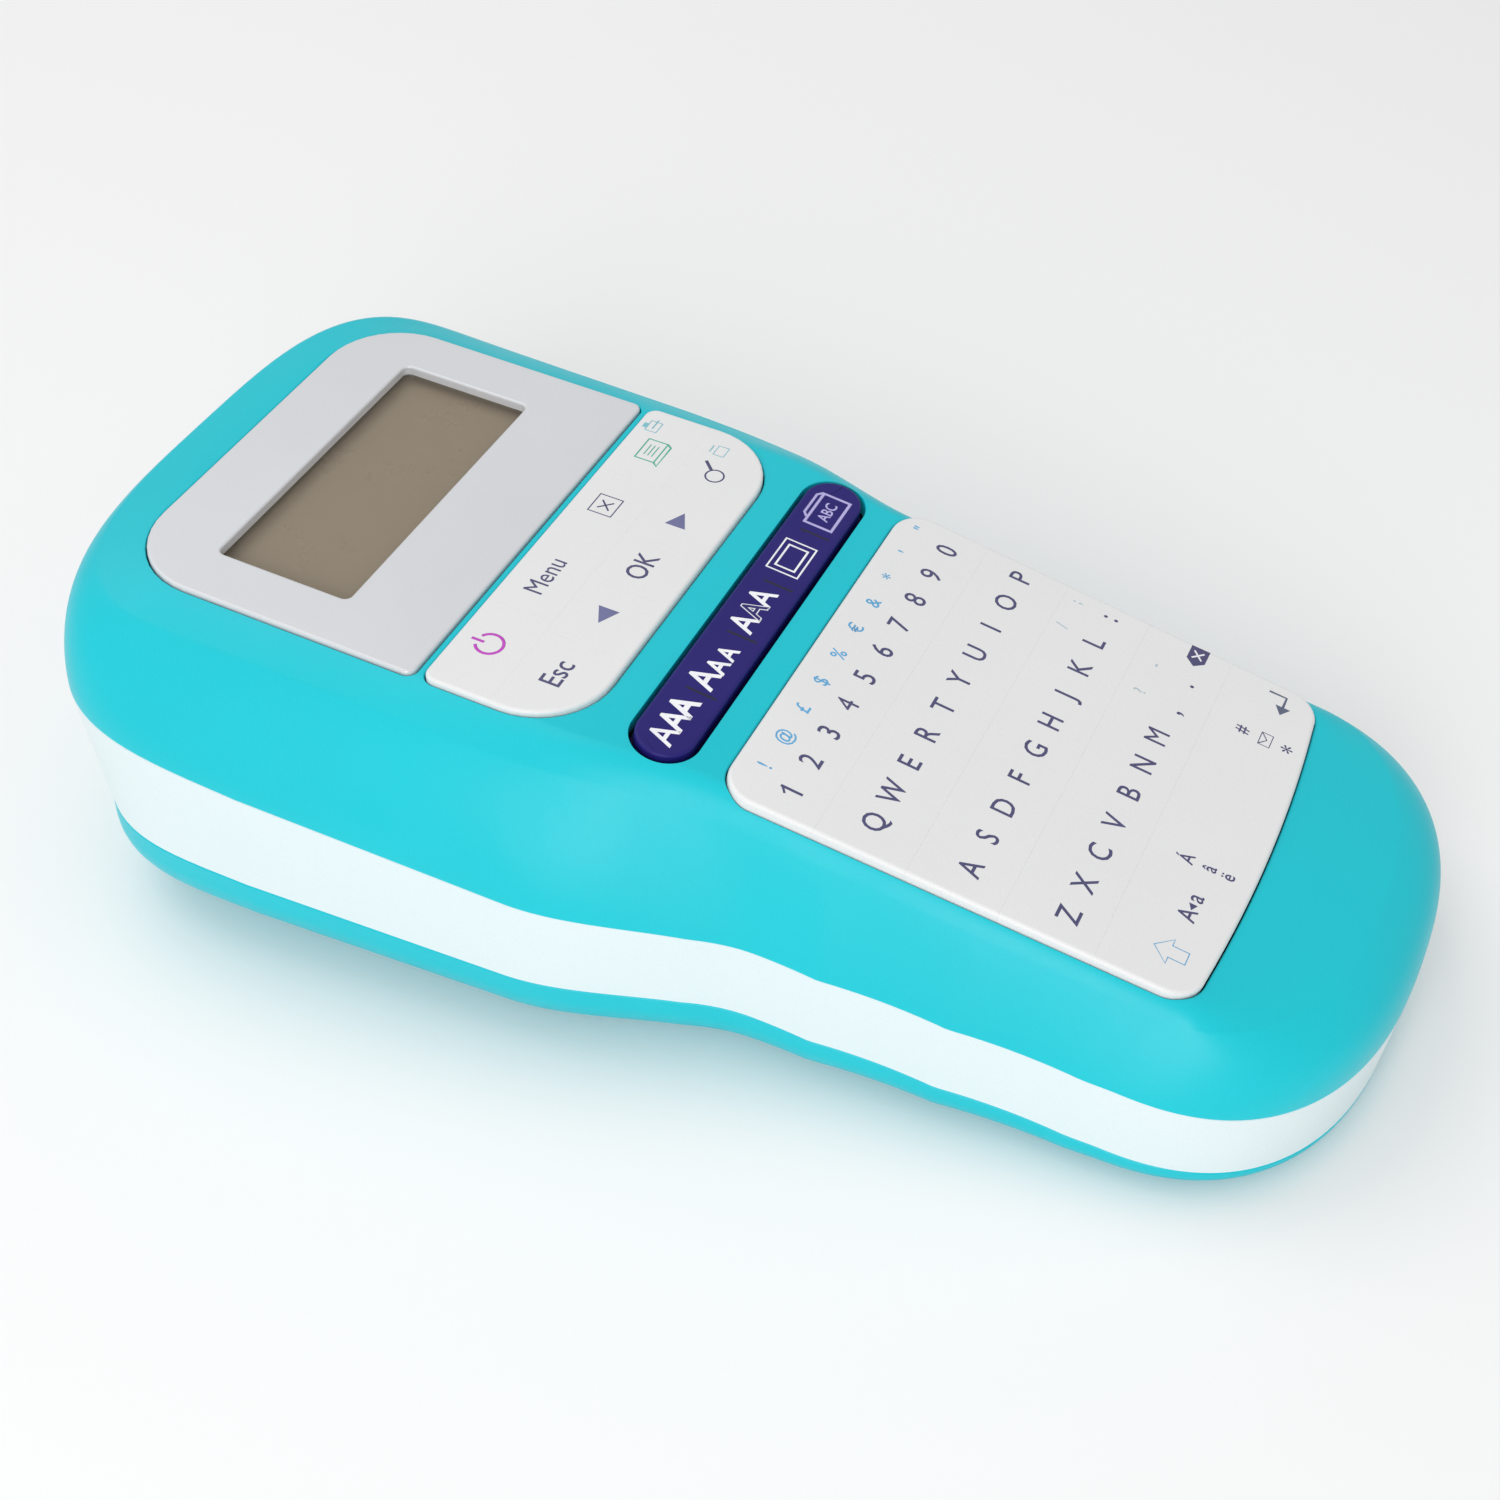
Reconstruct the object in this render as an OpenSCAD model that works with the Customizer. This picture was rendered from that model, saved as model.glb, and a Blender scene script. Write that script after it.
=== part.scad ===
// Handheld label maker with a full keyboard, a display and a tape cassette under a lift-off back.
// Everything is modelled in the body frame: x to the user's right, y towards the display end,
// z = 0 on the parting plane above the light band. on_table() then tilts the body onto its flat.

/* [Body] */
// Length over the rim
body_l = 210; // [204:1:216]
// Width over the head
head_w = 109; // [106:1:116]
// Width of the grip at its keyboard end
grip_w = 82.6; // [78:0.2:90]
// Height of the light band at the keyboard end
band_h = 12.8; // [11:0.2:16]
// Height that the light band gains along the body
band_gain = 4.7; // [3:0.1:6]
// Further height that it gains under the head
band_drop = 5.2; // [0:0.1:6]
// How far the display end leans in over the height of the band
lean = 5; // [0:0.2:5]
// Angle between the parting plane and the table
tilt = 7.2; // [5:0.1:9]
// Depth of the back below the band at the keyboard end
heel_h = 3.1; // [2.5:0.1:6]
// Wall of the shells
wall = 2.2; // [1.6:0.1:2.6]
// Depth of the three finger scoops
scoop = 0.5; // [0.2:0.1:1]

/* [Face] */
// Height of the ridge between the keyboard and the upper face
ridge_h = 20.6; // [19:0.1:24]
// Place of the ridge along the body
ridge_y = 7.8; // [5:0.1:10]
// Rise of the keyboard face towards the ridge, in degrees
key_slope = 5.7; // [4:0.1:7]
// Fall of the upper face towards the display end, in degrees
top_slope = 1.9; // [0:0.1:3]
// How far the pads stand out of the face
pad_rise = 0.8; // [0.4:0.1:1.2]
// Gap round each key, and round each pad in its opening
key_gap = 0.15; // [0.1:0.05:0.3]
// Travel of a key
key_travel = 0.8; // [0.5:0.1:1]

/* [Display] */
// Width of the display panel
panel_w = 72.2; // [68:0.2:74]
// Length of the display panel
panel_l = 52.4; // [48:0.2:53]
// Width of the window
window_w = 53.8; // [46:0.2:58]
// Length of the window
window_l = 23.2; // [20:0.2:26]

/* [Keys] */
// Distance between key columns
key_pitch = 6.43; // [6.2:0.01:6.5]
// Distance between key rows
row_pitch = 13.9; // [13:0.1:14]
// Width of the navigation pad
nav_w = 72; // [68:0.2:73]
// Length of the navigation pad
nav_l = 24.9; // [22:0.1:25.2]
// Width of the dark strip's slot
strip_w = 68; // [64:0.2:70]
// Length of the dark strip's slot
strip_l = 10.3; // [9:0.1:11]

/* [Cassette] */
// Width of the cassette
cassette_w = 63; // [60:1:64]
// Length of the cassette
cassette_l = 56; // [54:1:58]
// Height of the cassette
cassette_h = 21.5; // [19:0.5:22]
// Radius of the full tape roll
roll_r = 18; // [14:0.5:18.5]

/* [Drive] */
// Tooth module of the gears
gear_m = 0.6; // [0.5:0.05:0.6]
// Radius of the rubber platen
platen_r = 4; // [3:0.1:4.2]
// Radius of the platen shaft
shaft_r = 1.5; // [1.2:0.1:1.8]
// Running clearance of a shaft in its hole
run_gap = 0.05; // [0.02:0.01:0.08]
// Width of the gears
gear_w = 4; // [3:0.5:4.5]

/* [Battery] */
// Radius of one cell
cell_r = 5.25; // [5:0.05:5.3]
// Length of one cell
cell_l = 44.5; // [43:0.5:45]
// Number of cells side by side
cells = 6; // [4:1:6]

/* [Hidden] */

$fn = 48;
eps = 0.01;
TEAL = "#37c8d8";
WHITE = "#e4eff0";
PAD = "#d9d9dc";
SILVER = "#c9ccd2";
NAVY = "#32206e";
STEEL = "#a8adb3";
RUBBER = "#303338";
BRASS = "#c8a24a";

// ---- outlines of the body ----
side_pts = 26;        // points along each side
end_pts = 9;          // points round each end, on one side
end_lo = -103.5;      // the rim's two ends
end_hi = end_lo + body_l;
grip_end = [end_lo + 32.8, 32.8, 2.4];
head_end = [end_hi - 44.5, 44.5, 3.7];
blend_l = 36;         // length over which the grip widens into the head
scoop_pitch = 19.4;
scoop_y = -66.4;      // where the first scoop starts
face_grip_w = 64.8;   // width of the face at the keyboard's far end
face_head_w = 74.4;   // and round the display
face_taper = 0.024;
face_step_y = -6;     // where the face starts to widen
drop_y = -10;         // where the band starts to gain its further height
face_lo = end_lo + 20.5;   // the face's two ends
face_hi = end_hi - 8;
ridge_t = 8;          // half the length of the bend at the ridge

function mix(a, b, t) = a + (b - a) * t;
function smooth(t) = t <= 0 ? 0 : t >= 1 ? 1 : t * t * (3 - 2 * t);
function scoop_at(y) =
    let (u = (y - scoop_y) / scoop_pitch, f = u - floor(u))
    u < 0 || u > 3 ? 0 : scoop * 4 * f * (1 - f);
function rim_x(y) =
    mix(grip_w / 2 + 0.05 * (y - grip_end[0]), head_w / 2 + 0.042 * (min(y, head_end[0]) - head_end[0]),
        smooth(0.5 + y / blend_l)) - scoop_at(y);
function face_x(y) =
    mix(face_grip_w / 2 + face_taper * (min(y, face_step_y) - face_lo), face_head_w / 2,
        smooth((y - face_step_y) / 24));
function seam_z(y) =                                                   // the band's lower edge
    -band_h - band_gain * (y - end_lo) / body_l - band_drop * max(y - drop_y, 0) / (end_hi - drop_y);
function foot_z(y) = -band_h - heel_h - (y - end_lo) * tan(tilt);      // the flat under the back
function foot_x(y) = rim_x(y) - 0.95 * (-band_h - foot_z(y)) + scoop_at(y);
function face_z(y) =
    let (a = tan(key_slope), b = -tan(top_slope), y0 = ridge_y - ridge_t)
    y < y0 ? ridge_h + a * (y - ridge_y)
    : y > ridge_y + ridge_t ? ridge_h + b * (y - ridge_y)
    : ridge_h + a * (y - ridge_y) + (b - a) * pow(y - y0, 2) / (4 * ridge_t);

// One side of an outline, from the keyboard end to the display end: a superellipse quarter at
// each end and the width function w between them. lo and hi are [centre y, length, exponent].
function side(w, lo, hi) = concat(
    [for (i = [0:end_pts - 1]) let (a = 90 * i / end_pts)
        [w(lo[0]) * pow(sin(a), 2 / lo[2]), lo[0] - lo[1] * pow(cos(a), 2 / lo[2])]],
    [for (i = [0:side_pts]) let (y = mix(lo[0], hi[0], i / side_pts)) [w(y), y]],
    [for (i = [1:end_pts]) let (a = 90 * i / end_pts)
        [w(hi[0]) * (i == end_pts ? 0 : pow(cos(a), 2 / hi[2])),
         hi[0] + hi[1] * pow(sin(a), 2 / hi[2])]]);
last = side_pts + 2 * end_pts;

// Moves one side inwards by d.
function inset(s, d) = [for (i = [0:last])
    let (p = i == 0 ? [-s[1][0], s[1][1]] : s[i - 1],
         q = i == last ? [-s[last - 1][0], s[last - 1][1]] : s[i + 1],
         t = (q - p) / norm(q - p))
    s[i] + d * [-t[1], t[0]]];
function ring(s) = concat(s, [for (i = [last - 1:-1:1]) [-s[i][0], s[i][1], s[i][2]]]);
function at_z(s, z) = [for (p = s) [p[0], p[1], z]];

rim = side(function (y) rim_x(y), grip_end, head_end);
face = side(function (y) face_x(y), [face_lo + 8, 8, 2.8], [face_hi - 16, 16, 2.6]);
foot = side(function (y) foot_x(y), [grip_end[0], 29, 2.6], [head_end[0] - 2, 32.5, 3]);

// Fullness of the flank between rim and face at point i of a side: 1 is straight, 2 elliptic.
full_grip = 1.1;
full_head = 1.42;
full_end = 3.3;
function fullness(i) =
    let (e = max(1 - i / end_pts, 1 - (last - i) / end_pts, 0))
    mix(mix(full_grip, full_head, smooth((rim[i][1] + 10) / 40)), full_end, smooth(e));

// A closed solid through rings of equal length, each given bottom to top.
module loft(rings) {
    n = 2 * last;
    top = (len(rings) - 1) * n;
    left = function (i) i == 0 || i == last ? i : n - i;
    polyhedron(
        points = [for (r = rings) each r],
        faces = concat(
            [for (k = [0:len(rings) - 2], j = [0:n - 1])
                let (a = k * n + j, b = k * n + (j + 1) % n)
                each [[a, a + n, b + n], [a, b + n, b]]],
            [for (i = [0:last - 1]) each concat(
                i < last - 1 ? [[top + i + 1, top + i, top + left(i + 1)], [i, i + 1, left(i + 1)]] : [],
                i > 0 ? [[top + left(i + 1), top + i, top + left(i)], [i, left(i + 1), left(i)]] : [])]));
}

// Places the body frame on the table, with its middle over the origin.
lift = (band_h + heel_h) * cos(tilt) - end_lo * sin(tilt);
tuck = 0.19;          // share of the back's depth that goes straight down before it curves in
middle = (end_lo + end_hi) * cos(tilt) / 2;
module on_table() {
    translate([0, -middle, lift]) rotate([tilt, 0, 0]) children();
}
// The two face planes: z = 0 on the face, y along it from the ridge.
module on_keys() { translate([0, ridge_y, ridge_h]) rotate([key_slope, 0, 0]) children(); }
module on_top() { translate([0, ridge_y, ridge_h]) rotate([-top_slope, 0, 0]) children(); }

// The upper shell: a curved flank from the face's edge down to the rim. d is how far it is
// moved inwards, low how far it reaches below the parting plane.
rise_steps = 6;
module upper_loft(d, low) {
    r = inset(rim, d);
    f = inset(face, d);
    loft(concat(
        [ring(at_z(r, -low))],
        [for (k = [0:rise_steps]) let (a = 90 * k / rise_steps)
            ring([for (i = [0:last]) let (n = 2 / fullness(i), p = mix(f[i], r[i], pow(cos(a), n)))
                [p[0], p[1], (face_z(f[i][1]) - d) * pow(sin(a), n) + (k == 0 ? eps : 0)]])]));
}
function leant(s) = [for (p = s)
    [p[0], p[1] - lean * smooth((p[1] - head_end[0]) / head_end[1])]];     // a side as it is at the seam
function at_seam(s, up) = [for (p = leant(s)) [p[0], p[1], seam_z(p[1]) + up]];
// The band's outline moved inwards by d, from up over its lower edge to z1, or between two heights.
module band_loft(d, up, z1) { loft([ring(at_seam(inset(rim, d), up)), ring(at_z(inset(rim, d), z1))]); }
module level_loft(d, z0, z1) { loft([ring(at_z(inset(rim, d), z0)), ring(at_z(inset(rim, d), z1))]); }
// The back: a wall that curves in to the flat that the label maker stands on.
back_steps = 5;
module back_loft(d, up) {
    r = leant(inset(rim, d));
    f = inset(foot, d);
    loft(concat(
        [for (k = [back_steps:-1:0]) let (a = 90 * k / back_steps, g = 1 - cos(a), h = mix(tuck, 1, sin(a)))
            ring([for (i = [0:last]) let (p = mix(r[i], f[i], g), y = mix(r[i][1], p[1], g))
                [p[0], p[1], mix(seam_z(y), foot_z(y) + d, h)]])],
        [ring(at_seam(inset(rim, d), up))]));
}

// ---- plan shapes ----
// A rectangle round its centre, with corners of radius lo at the near end and hi at the far end.
module rounded(w, l, lo, hi) {
    translate([-w / 2, lo - l / 2]) square([w, l - lo - hi]);
    translate([lo - w / 2, -l / 2]) square([w - 2 * lo, lo + eps]);
    translate([hi - w / 2, l / 2 - hi - eps]) square([w - 2 * hi, hi + eps]);
    for (x = [-1, 1]) {
        translate([x * (w / 2 - lo), lo - l / 2]) circle(lo);
        translate([x * (w / 2 - hi), l / 2 - hi]) circle(hi);
    }
}
module box(w, l, h) { translate([-w / 2, -l / 2, 0]) cube([w, l, h]); }
module slab(z0, z1) { translate([0, 0, z0]) linear_extrude(z1 - z0) children(); }

// ---- face openings; d makes each smaller all round ----
panel_y = 60.5;       // centres, along the upper face from the ridge
window_y = panel_y + 1.95;
nav_y = 20.35;
strip_y = 4.6;        // centre of the strip, along the body
strip_slope = 3.4;
keypad_y = -49.4;     // centre of the keypad, along the keyboard face from the ridge
keypad_l = 5 * row_pitch + 2;
keypad_top_w = 68.4;
keypad_low_w = 64.8;
keypad_r = 5;         // corners
keypad_bow = 1.4;     // how far the lower edge bows out between its corners
nav_r = 12;
panel_r = 13;
module on_strip() { translate([0, strip_y, face_z(strip_y)]) rotate([strip_slope, 0, 0]) children(); }
module panel_2d(d) {
    translate([0, panel_y]) rounded(panel_w - 2 * d, panel_l - 2 * d, 1.5, panel_r - d);
}
module nav_2d(d) {
    translate([0, nav_y]) rounded(nav_w - 2 * d, nav_l - 2 * d, nav_r - d, 2);
}
module strip_2d(d) {
    r = strip_l / 2 - d;
    rounded(strip_w - 2 * d, 2 * r, r - eps, r - eps);
}
module keypad_2d(d) {
    r = keypad_r;
    low_x = keypad_low_w / 2 - r - d;
    low_y = keypad_y - keypad_l / 2 + d;
    hull() {
        for (s = [-1, 1]) {
            translate([s * (keypad_top_w / 2 - r - d), keypad_y + keypad_l / 2 - r - d]) circle(r, $fn = 32);
            translate([s * low_x, low_y + r]) circle(r, $fn = 32);
        }
        polygon([for (i = [-6:6]) [low_x * i / 6, low_y - keypad_bow * (1 - i * i / 36)]]);
    }
}
// A flange that holds a pad under the face: a bar w wide along the edge at y, inside or outside.
module flange(w, y) { translate([0, y, -seat - flange_t]) box(w, 2 * flange_y, flange_t); }

// ---- inner levels ----
seat = wall + 0.5;    // depth of the pads' and the panel's flanges under the face
flange_t = 0.7;
flange_y = 1.2;
board_z = -5.8;       // top of both boards, from their face
board_t = 1.6;
key_foot = -board_z - key_travel - 0.2;
deck_z = -2;          // top of the deck
deck_t = 2;
deck_low = deck_z - deck_t;
band_wall = 2.4;
screw_r = 1.25;
boss_r = 2.8;
screw_at = [[36.6, -62], [36.6, -12], [45, 32], [18, end_hi - 7.5]];

// ---- bays under the deck ----
bay_gap = 0.6;
bay_wall = 1.5;
cassette_x = -2.5;
cassette_y = 56;
cassette_top = deck_low - 0.7;
notch_x = 22;         // the cassette's corner that makes room for the print head
notch_y = 66.5;
cell_y = -50;
cell_z = deck_low - cell_r - 0.35;
cell_pitch = 2 * cell_r + 0.1;
bay_l = cell_l + 5.2;
bay_w = cells * cell_pitch + 1.2;

// ---- drive train ----
gear_z = -0.6;
plate_t = 1;
platen = [34.8, 79];
teeth = [12, 36, 24, 24, 24];    // pinion, idler, platen, ribbon idler, ribbon spindle
mesh_gap = 0.12;
function apart(a, b) = gear_m * (a + b) / 2 + mesh_gap;
function polar_from(p, a, d) = p + d * [cos(a), sin(a)];
idler = polar_from(platen, -80, apart(teeth[1], teeth[2]));
motor = polar_from(idler, -85, apart(teeth[0], teeth[1]));
ribbon_idler_at = polar_from(platen, 200, apart(teeth[2], teeth[3]));
spindle = polar_from(ribbon_idler_at, 205, apart(teeth[3], teeth[4]));
// Turn of a gear with n teeth that meets, in direction b, a gear of m teeth turned by a.
function meshed(b, a, m, n) = b + 180 - 180 / n + (b - a) * m / n;
turn_platen = 0;
turn_idler = meshed(-80, turn_platen, teeth[2], teeth[1]);
turn_motor = meshed(-85, turn_idler, teeth[1], teeth[0]);
turn_ribbon = meshed(200, turn_platen, teeth[2], teeth[3]);
turn_spindle = meshed(205, turn_ribbon, teeth[3], teeth[4]);
motor_r = 7;
motor_l = 15;
motor_shaft_r = 1;
spindle_r = 2.9;
roll_low = cassette_top - cassette_h + 1.6;
roll_high = cassette_top - 1.6;

module gear(n, bore) {
    r = gear_m * n / 2;
    tip = r + 0.85 * gear_m;
    root = r - 1.15 * gear_m;
    a = 360 / n;
    difference() {
        linear_extrude(gear_w) union() {
            circle(root);
            for (k = [0:n - 1]) rotate(k * a) polygon([
                [root - 0.3, -0.3 * a * PI / 180 * r], [r, -0.215 * a * PI / 180 * r],
                [tip, -0.1 * a * PI / 180 * r], [tip, 0.1 * a * PI / 180 * r],
                [r, 0.215 * a * PI / 180 * r], [root - 0.3, 0.3 * a * PI / 180 * r]]);
        }
        if (bore > 0) translate([0, 0, -eps]) cylinder(r = bore, h = gear_w + 2 * eps);
    }
}
// A helical spring of mean radius r, standing on z = 0.
module coil(r, wire, turns, h) {
    sides = 6;
    steps = 14;
    n = ceil(turns * steps);
    pts = [for (i = [0:n], k = [0:sides - 1])
        let (a = 360 * turns * i / n, b = 360 * k / sides, q = r + wire / 2 * cos(b))
        [q * cos(a), q * sin(a), wire / 2 + (h - wire) * i / n + wire / 2 * sin(b)]];
    polyhedron(points = pts, faces = concat(
        [for (i = [0:n - 1], k = [0:sides - 1])
            let (a = i * sides + k, b = i * sides + (k + 1) % sides)
            each [[a, b, b + sides], [a, b + sides, a + sides]]],
        [[for (k = [sides - 1:-1:0]) k], [for (k = [0:sides - 1]) n * sides + k]]));
}

// ---- casings ----
module top_cover() color(TEAL) on_table() difference() {
    union() {
        difference() {
            upper_loft(0, 0);
            upper_loft(wall, 1);
        }
        intersection() {
            for (p = screw_at, s = [-1, 1])
                translate([s * p[0], p[1], deck_z]) cylinder(r = boss_r, h = 40);
            union() {
                upper_loft(wall / 2, 0);
                slab(deck_z, 1) square([head_w - 2 * band_wall - 4, body_l - 2 * band_wall - 2], center = true);
            }
        }
    }
    on_top() slab(-8, 5) { panel_2d(-key_gap); nav_2d(-key_gap); }
    on_strip() slab(-8, 5) strip_2d(-key_gap);
    on_keys() slab(-8, 5) keypad_2d(-key_gap);
    for (p = screw_at, s = [-1, 1])
        translate([s * p[0], p[1], deck_z - eps]) cylinder(r = screw_r, h = 7);
}
slot_x = 30.5;
slot_w = 3;
slot_low = cassette_top - cassette_h + 0.3;
paddle = [72, 88.5];
paddle_z = [-11.6, -6.6];
lever_at = [46, 66];
jack_size = [11, 9, 8];
jack_y = 14;
jack_gap = 0.2;       // to the band's inner wall
jack_at = [rim_x(jack_y - jack_size[1] / 2) - band_wall - jack_size[0] - jack_gap, jack_y, -8.1];
module mid_case() color(WHITE) on_table() difference() {
    union() {
        difference() {
            band_loft(0, 0, 0);
            band_loft(band_wall, -1, 1);
        }
        level_loft(band_wall - eps, deck_low, deck_z);
        translate([0, cell_y, deck_low - 9]) linear_extrude(9 + eps) difference() {
            square([bay_w + 2 * bay_wall, bay_l + 2 * bay_wall], center = true);
            square([bay_w, bay_l], center = true);
        }
        translate([cassette_x, cassette_y, deck_low - 10]) linear_extrude(10 + eps) difference() {
            square([cassette_w + 2 * (bay_gap + bay_wall), cassette_l + 2 * (bay_gap + bay_wall)], center = true);
            square([cassette_w + 2 * bay_gap, cassette_l + 2 * bay_gap], center = true);
            translate([24, 4]) square([40, 60], center = true);
        }
        translate([lever_at[0], lever_at[1], -12.4]) cylinder(r = 1.5, h = 12.4 + deck_low + eps);
        translate([head_pivot[0], head_pivot[1], -24]) cylinder(r = 1.2, h = 24 + deck_low + eps);
    }
    translate([slot_x - slot_w / 2, 90, -band_h - 10]) cube([slot_w, 30, band_h + 5]);
    translate([40, paddle[0] - 0.6, paddle_z[0] - 0.5])
        cube([30, paddle[1] - paddle[0] + 2.4, paddle_z[1] - paddle_z[0] + 1]);
    translate([jack_at[0], jack_at[1], jack_at[2]]) rotate([0, 90, 0]) cylinder(r = 3.5, h = 20);
    for (p = screw_at, s = [-1, 1]) translate([s * p[0], p[1], deck_low - 1])
        cylinder(r = screw_r + 0.15, h = 5);
    translate([platen[0], platen[1], deck_low - 1]) cylinder(r = shaft_r + run_gap, h = 5);
    translate([spindle[0], spindle[1], deck_low - 1]) cylinder(r = spindle_r + run_gap, h = 5);
    translate([motor[0], motor[1], deck_low - 1]) cylinder(r = 3, h = 5);
}
module back_cover() color(TEAL) on_table() difference() {
    back_loft(0, 0);
    back_loft(wall, 1);
    translate([slot_x - slot_w / 2, 85, slot_low]) cube([slot_w, 40, 40]);
    translate([0, latch_y, -40]) box(latch_w + 0.6, latch_l + latch_travel + 0.6, 60);
}
latch_y = -84;
latch_w = 16;
latch_l = 8;
latch_travel = 2.5;
module cover_latch() color(RUBBER) on_table() {
    z = foot_z(latch_y) + 1.2;
    translate([0, latch_y - latch_travel / 2, z]) {
        box(latch_w, latch_l, 1.6);
        box(latch_w - 6, 2, seam_z(latch_y) - z + 3);
    }
}
head_pivot = [27.9, 70];

// ---- display ----
panel_rise = 0.5;
lens_drop = 1.05;
lens_t = 1;
glass_z = -4.2;
glass_t = 1.8;
module window_2d(d) { translate([0, window_y]) rounded(window_w + 2 * d, window_l + 2 * d, 1.2, 1.2); }
module display_panel() color(SILVER) on_table() on_top() difference() {
    union() {
        slab(-seat - eps, panel_rise) panel_2d(0);
        slab(-seat - flange_t, -seat) difference() {
            panel_2d(0);
            panel_2d(2.4);
        }
        flange(panel_w - 2 * panel_r - 2, panel_y + panel_l / 2);
    }
    slab(-10, 5) window_2d(0);
    slab(-10, -lens_drop) window_2d(1.6);
    slab(-10, -lens_drop - lens_t) window_2d(4);
}
module lcd_lens() color(SILVER, 0.4) on_table() on_top() slab(-lens_drop - lens_t, -lens_drop) window_2d(1.5);
module lcd_glass() color("#8c8068") on_table() on_top() slab(glass_z, glass_z + glass_t) window_2d(2.4);
module lcd_holder() color(RUBBER) on_table() on_top() difference() {
    slab(board_z, glass_z + glass_t - 0.2) window_2d(3.8);
    slab(glass_z - 0.2, 0) window_2d(2.5);
    translate([0, window_y - 18, glass_z - 0.3]) box(31, 12, 0.5);
}
module lcd_flex() color("#b5742c") on_table() on_top() {
    y0 = window_y - window_l / 2 - 1;
    translate([-15, y0 - 4.2, glass_z - 0.2]) cube([30, 5, 0.15]);
    translate([-15, y0 - 4.2, board_z + 0.05]) cube([30, 0.15, glass_z - board_z - 0.15]);
}

// ---- pads and keys ----
rib = 0.7;            // bar between two keys
// One key: a cap in its own cell, a waist, and a stem that ends just over its board.
module key(x0, x1, y0, y1) {
    c = rib / 2 + key_gap;
    slab(-seat - flange_t, pad_rise) intersection() {
        translate([(x0 + x1) / 2, (y0 + y1) / 2]) rounded(x1 - x0 - 2 * c, y1 - y0 - 2 * c, 0.6, 0.6);
        children();
    }
    translate([(x0 + x1) / 2, (y0 + y1) / 2, -key_foot]) cylinder(r = 1.4, h = key_foot - seat - flange_t + eps);
}
module cells(xs, y0, y1) {
    for (i = [0:len(xs) - 2]) translate([(xs[i] + xs[i + 1]) / 2, (y0 + y1) / 2])
        rounded(xs[i + 1] - xs[i] - rib, y1 - y0 - rib, 0.7, 0.7);
}
nav_split = 21.6;
nav_lo = nav_y - nav_l / 2 + 0.8;
nav_hi = nav_y + nav_l / 2 - 0.8;
nav_upper_x = [-35.2, -17.1, 0.8, 18.1, 35.2];
nav_lower_x = [-35.2, -19.3, -6.1, 6.1, 18.8, 35.2];
module nav_pad() color(PAD) on_table() on_top() difference() {
    union() {
        slab(-seat - eps, pad_rise) nav_2d(0);
        slab(-seat - flange_t, -seat) nav_2d(0);
        flange(nav_w - 2 * nav_r - 2, nav_y - nav_l / 2);
    }
    slab(-10, 5) intersection() {
        union() { cells(nav_upper_x, nav_split, nav_hi); cells(nav_lower_x, nav_lo, nav_split); }
        nav_2d(1);
    }
}
module nav_key(xs, i, y0, y1) color(PAD) on_table() on_top()
    key(xs[i], xs[i + 1], y0, y1) nav_2d(1 + key_gap);
module nav_key_power() nav_key(nav_upper_x, 0, nav_split, nav_hi);
module nav_key_menu() nav_key(nav_upper_x, 1, nav_split, nav_hi);
module nav_key_clear() nav_key(nav_upper_x, 2, nav_split, nav_hi);
module nav_key_print() nav_key(nav_upper_x, 3, nav_split, nav_hi);
module nav_key_escape() nav_key(nav_lower_x, 0, nav_lo, nav_split);
module nav_key_left() nav_key(nav_lower_x, 1, nav_lo, nav_split);
module nav_key_ok() nav_key(nav_lower_x, 2, nav_lo, nav_split);
module nav_key_right() nav_key(nav_lower_x, 3, nav_lo, nav_split);
module nav_key_preview() nav_key(nav_lower_x, 4, nav_lo, nav_split);

style_x = [-33, -19.9, -6.4, 6.4, 19.9, 33];
style_half = strip_l / 2 - 0.6;
module style_pad() color(NAVY) on_table() on_strip() difference() {
    union() {
        slab(-seat - eps, pad_rise) strip_2d(0);
        slab(-seat - flange_t, -seat) strip_2d(0);
        for (s = [-1, 1]) flange(strip_w - strip_l - 2, s * strip_l / 2);
    }
    slab(-10, 5) intersection() {
        cells(style_x, -style_half, style_half);
        strip_2d(1);
    }
}
module style_key(i) color(NAVY) on_table() on_strip()
    key(style_x[i], style_x[i + 1], -style_half, style_half) strip_2d(1 + key_gap);
module style_key_bold() style_key(0);
module style_key_outline() style_key(1);
module style_key_shadow() style_key(2);
module style_key_frame() style_key(3);
module style_key_label() style_key(4);

columns = [for (i = [-5:5]) i * key_pitch * 0.98];
space_row = [-5, -3.4, -2, -0.7, 2.1, 3.6, 5] * key_pitch * 0.98;
row_hi = keypad_y + keypad_l / 2 - 1;
function row_y(k) = row_hi - k * row_pitch;
module key_pad() color(PAD) on_table() on_keys() difference() {
    union() {
        slab(-seat - eps, pad_rise) keypad_2d(0);
        slab(-seat - flange_t, -seat) keypad_2d(0);
        flange(keypad_top_w - 2 * keypad_r - 4, keypad_y + keypad_l / 2);
        flange(keypad_low_w - 2 * keypad_r - 10, keypad_y - keypad_l / 2 - keypad_bow);
    }
    slab(-10, 5) for (k = [0:4]) cells(k == 4 ? space_row : columns, row_y(k + 1), row_y(k));
}
module key_row(k, xs) color(PAD) on_table() on_keys()
    for (i = [0:len(xs) - 2]) key(xs[i], xs[i + 1], row_y(k + 1), row_y(k)) square(200, center = true);
module key_row_digits() key_row(0, columns);
module key_row_upper() key_row(1, columns);
module key_row_home() key_row(2, columns);
module key_row_lower() key_row(3, columns);
module key_row_space() key_row(4, space_row);

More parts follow.
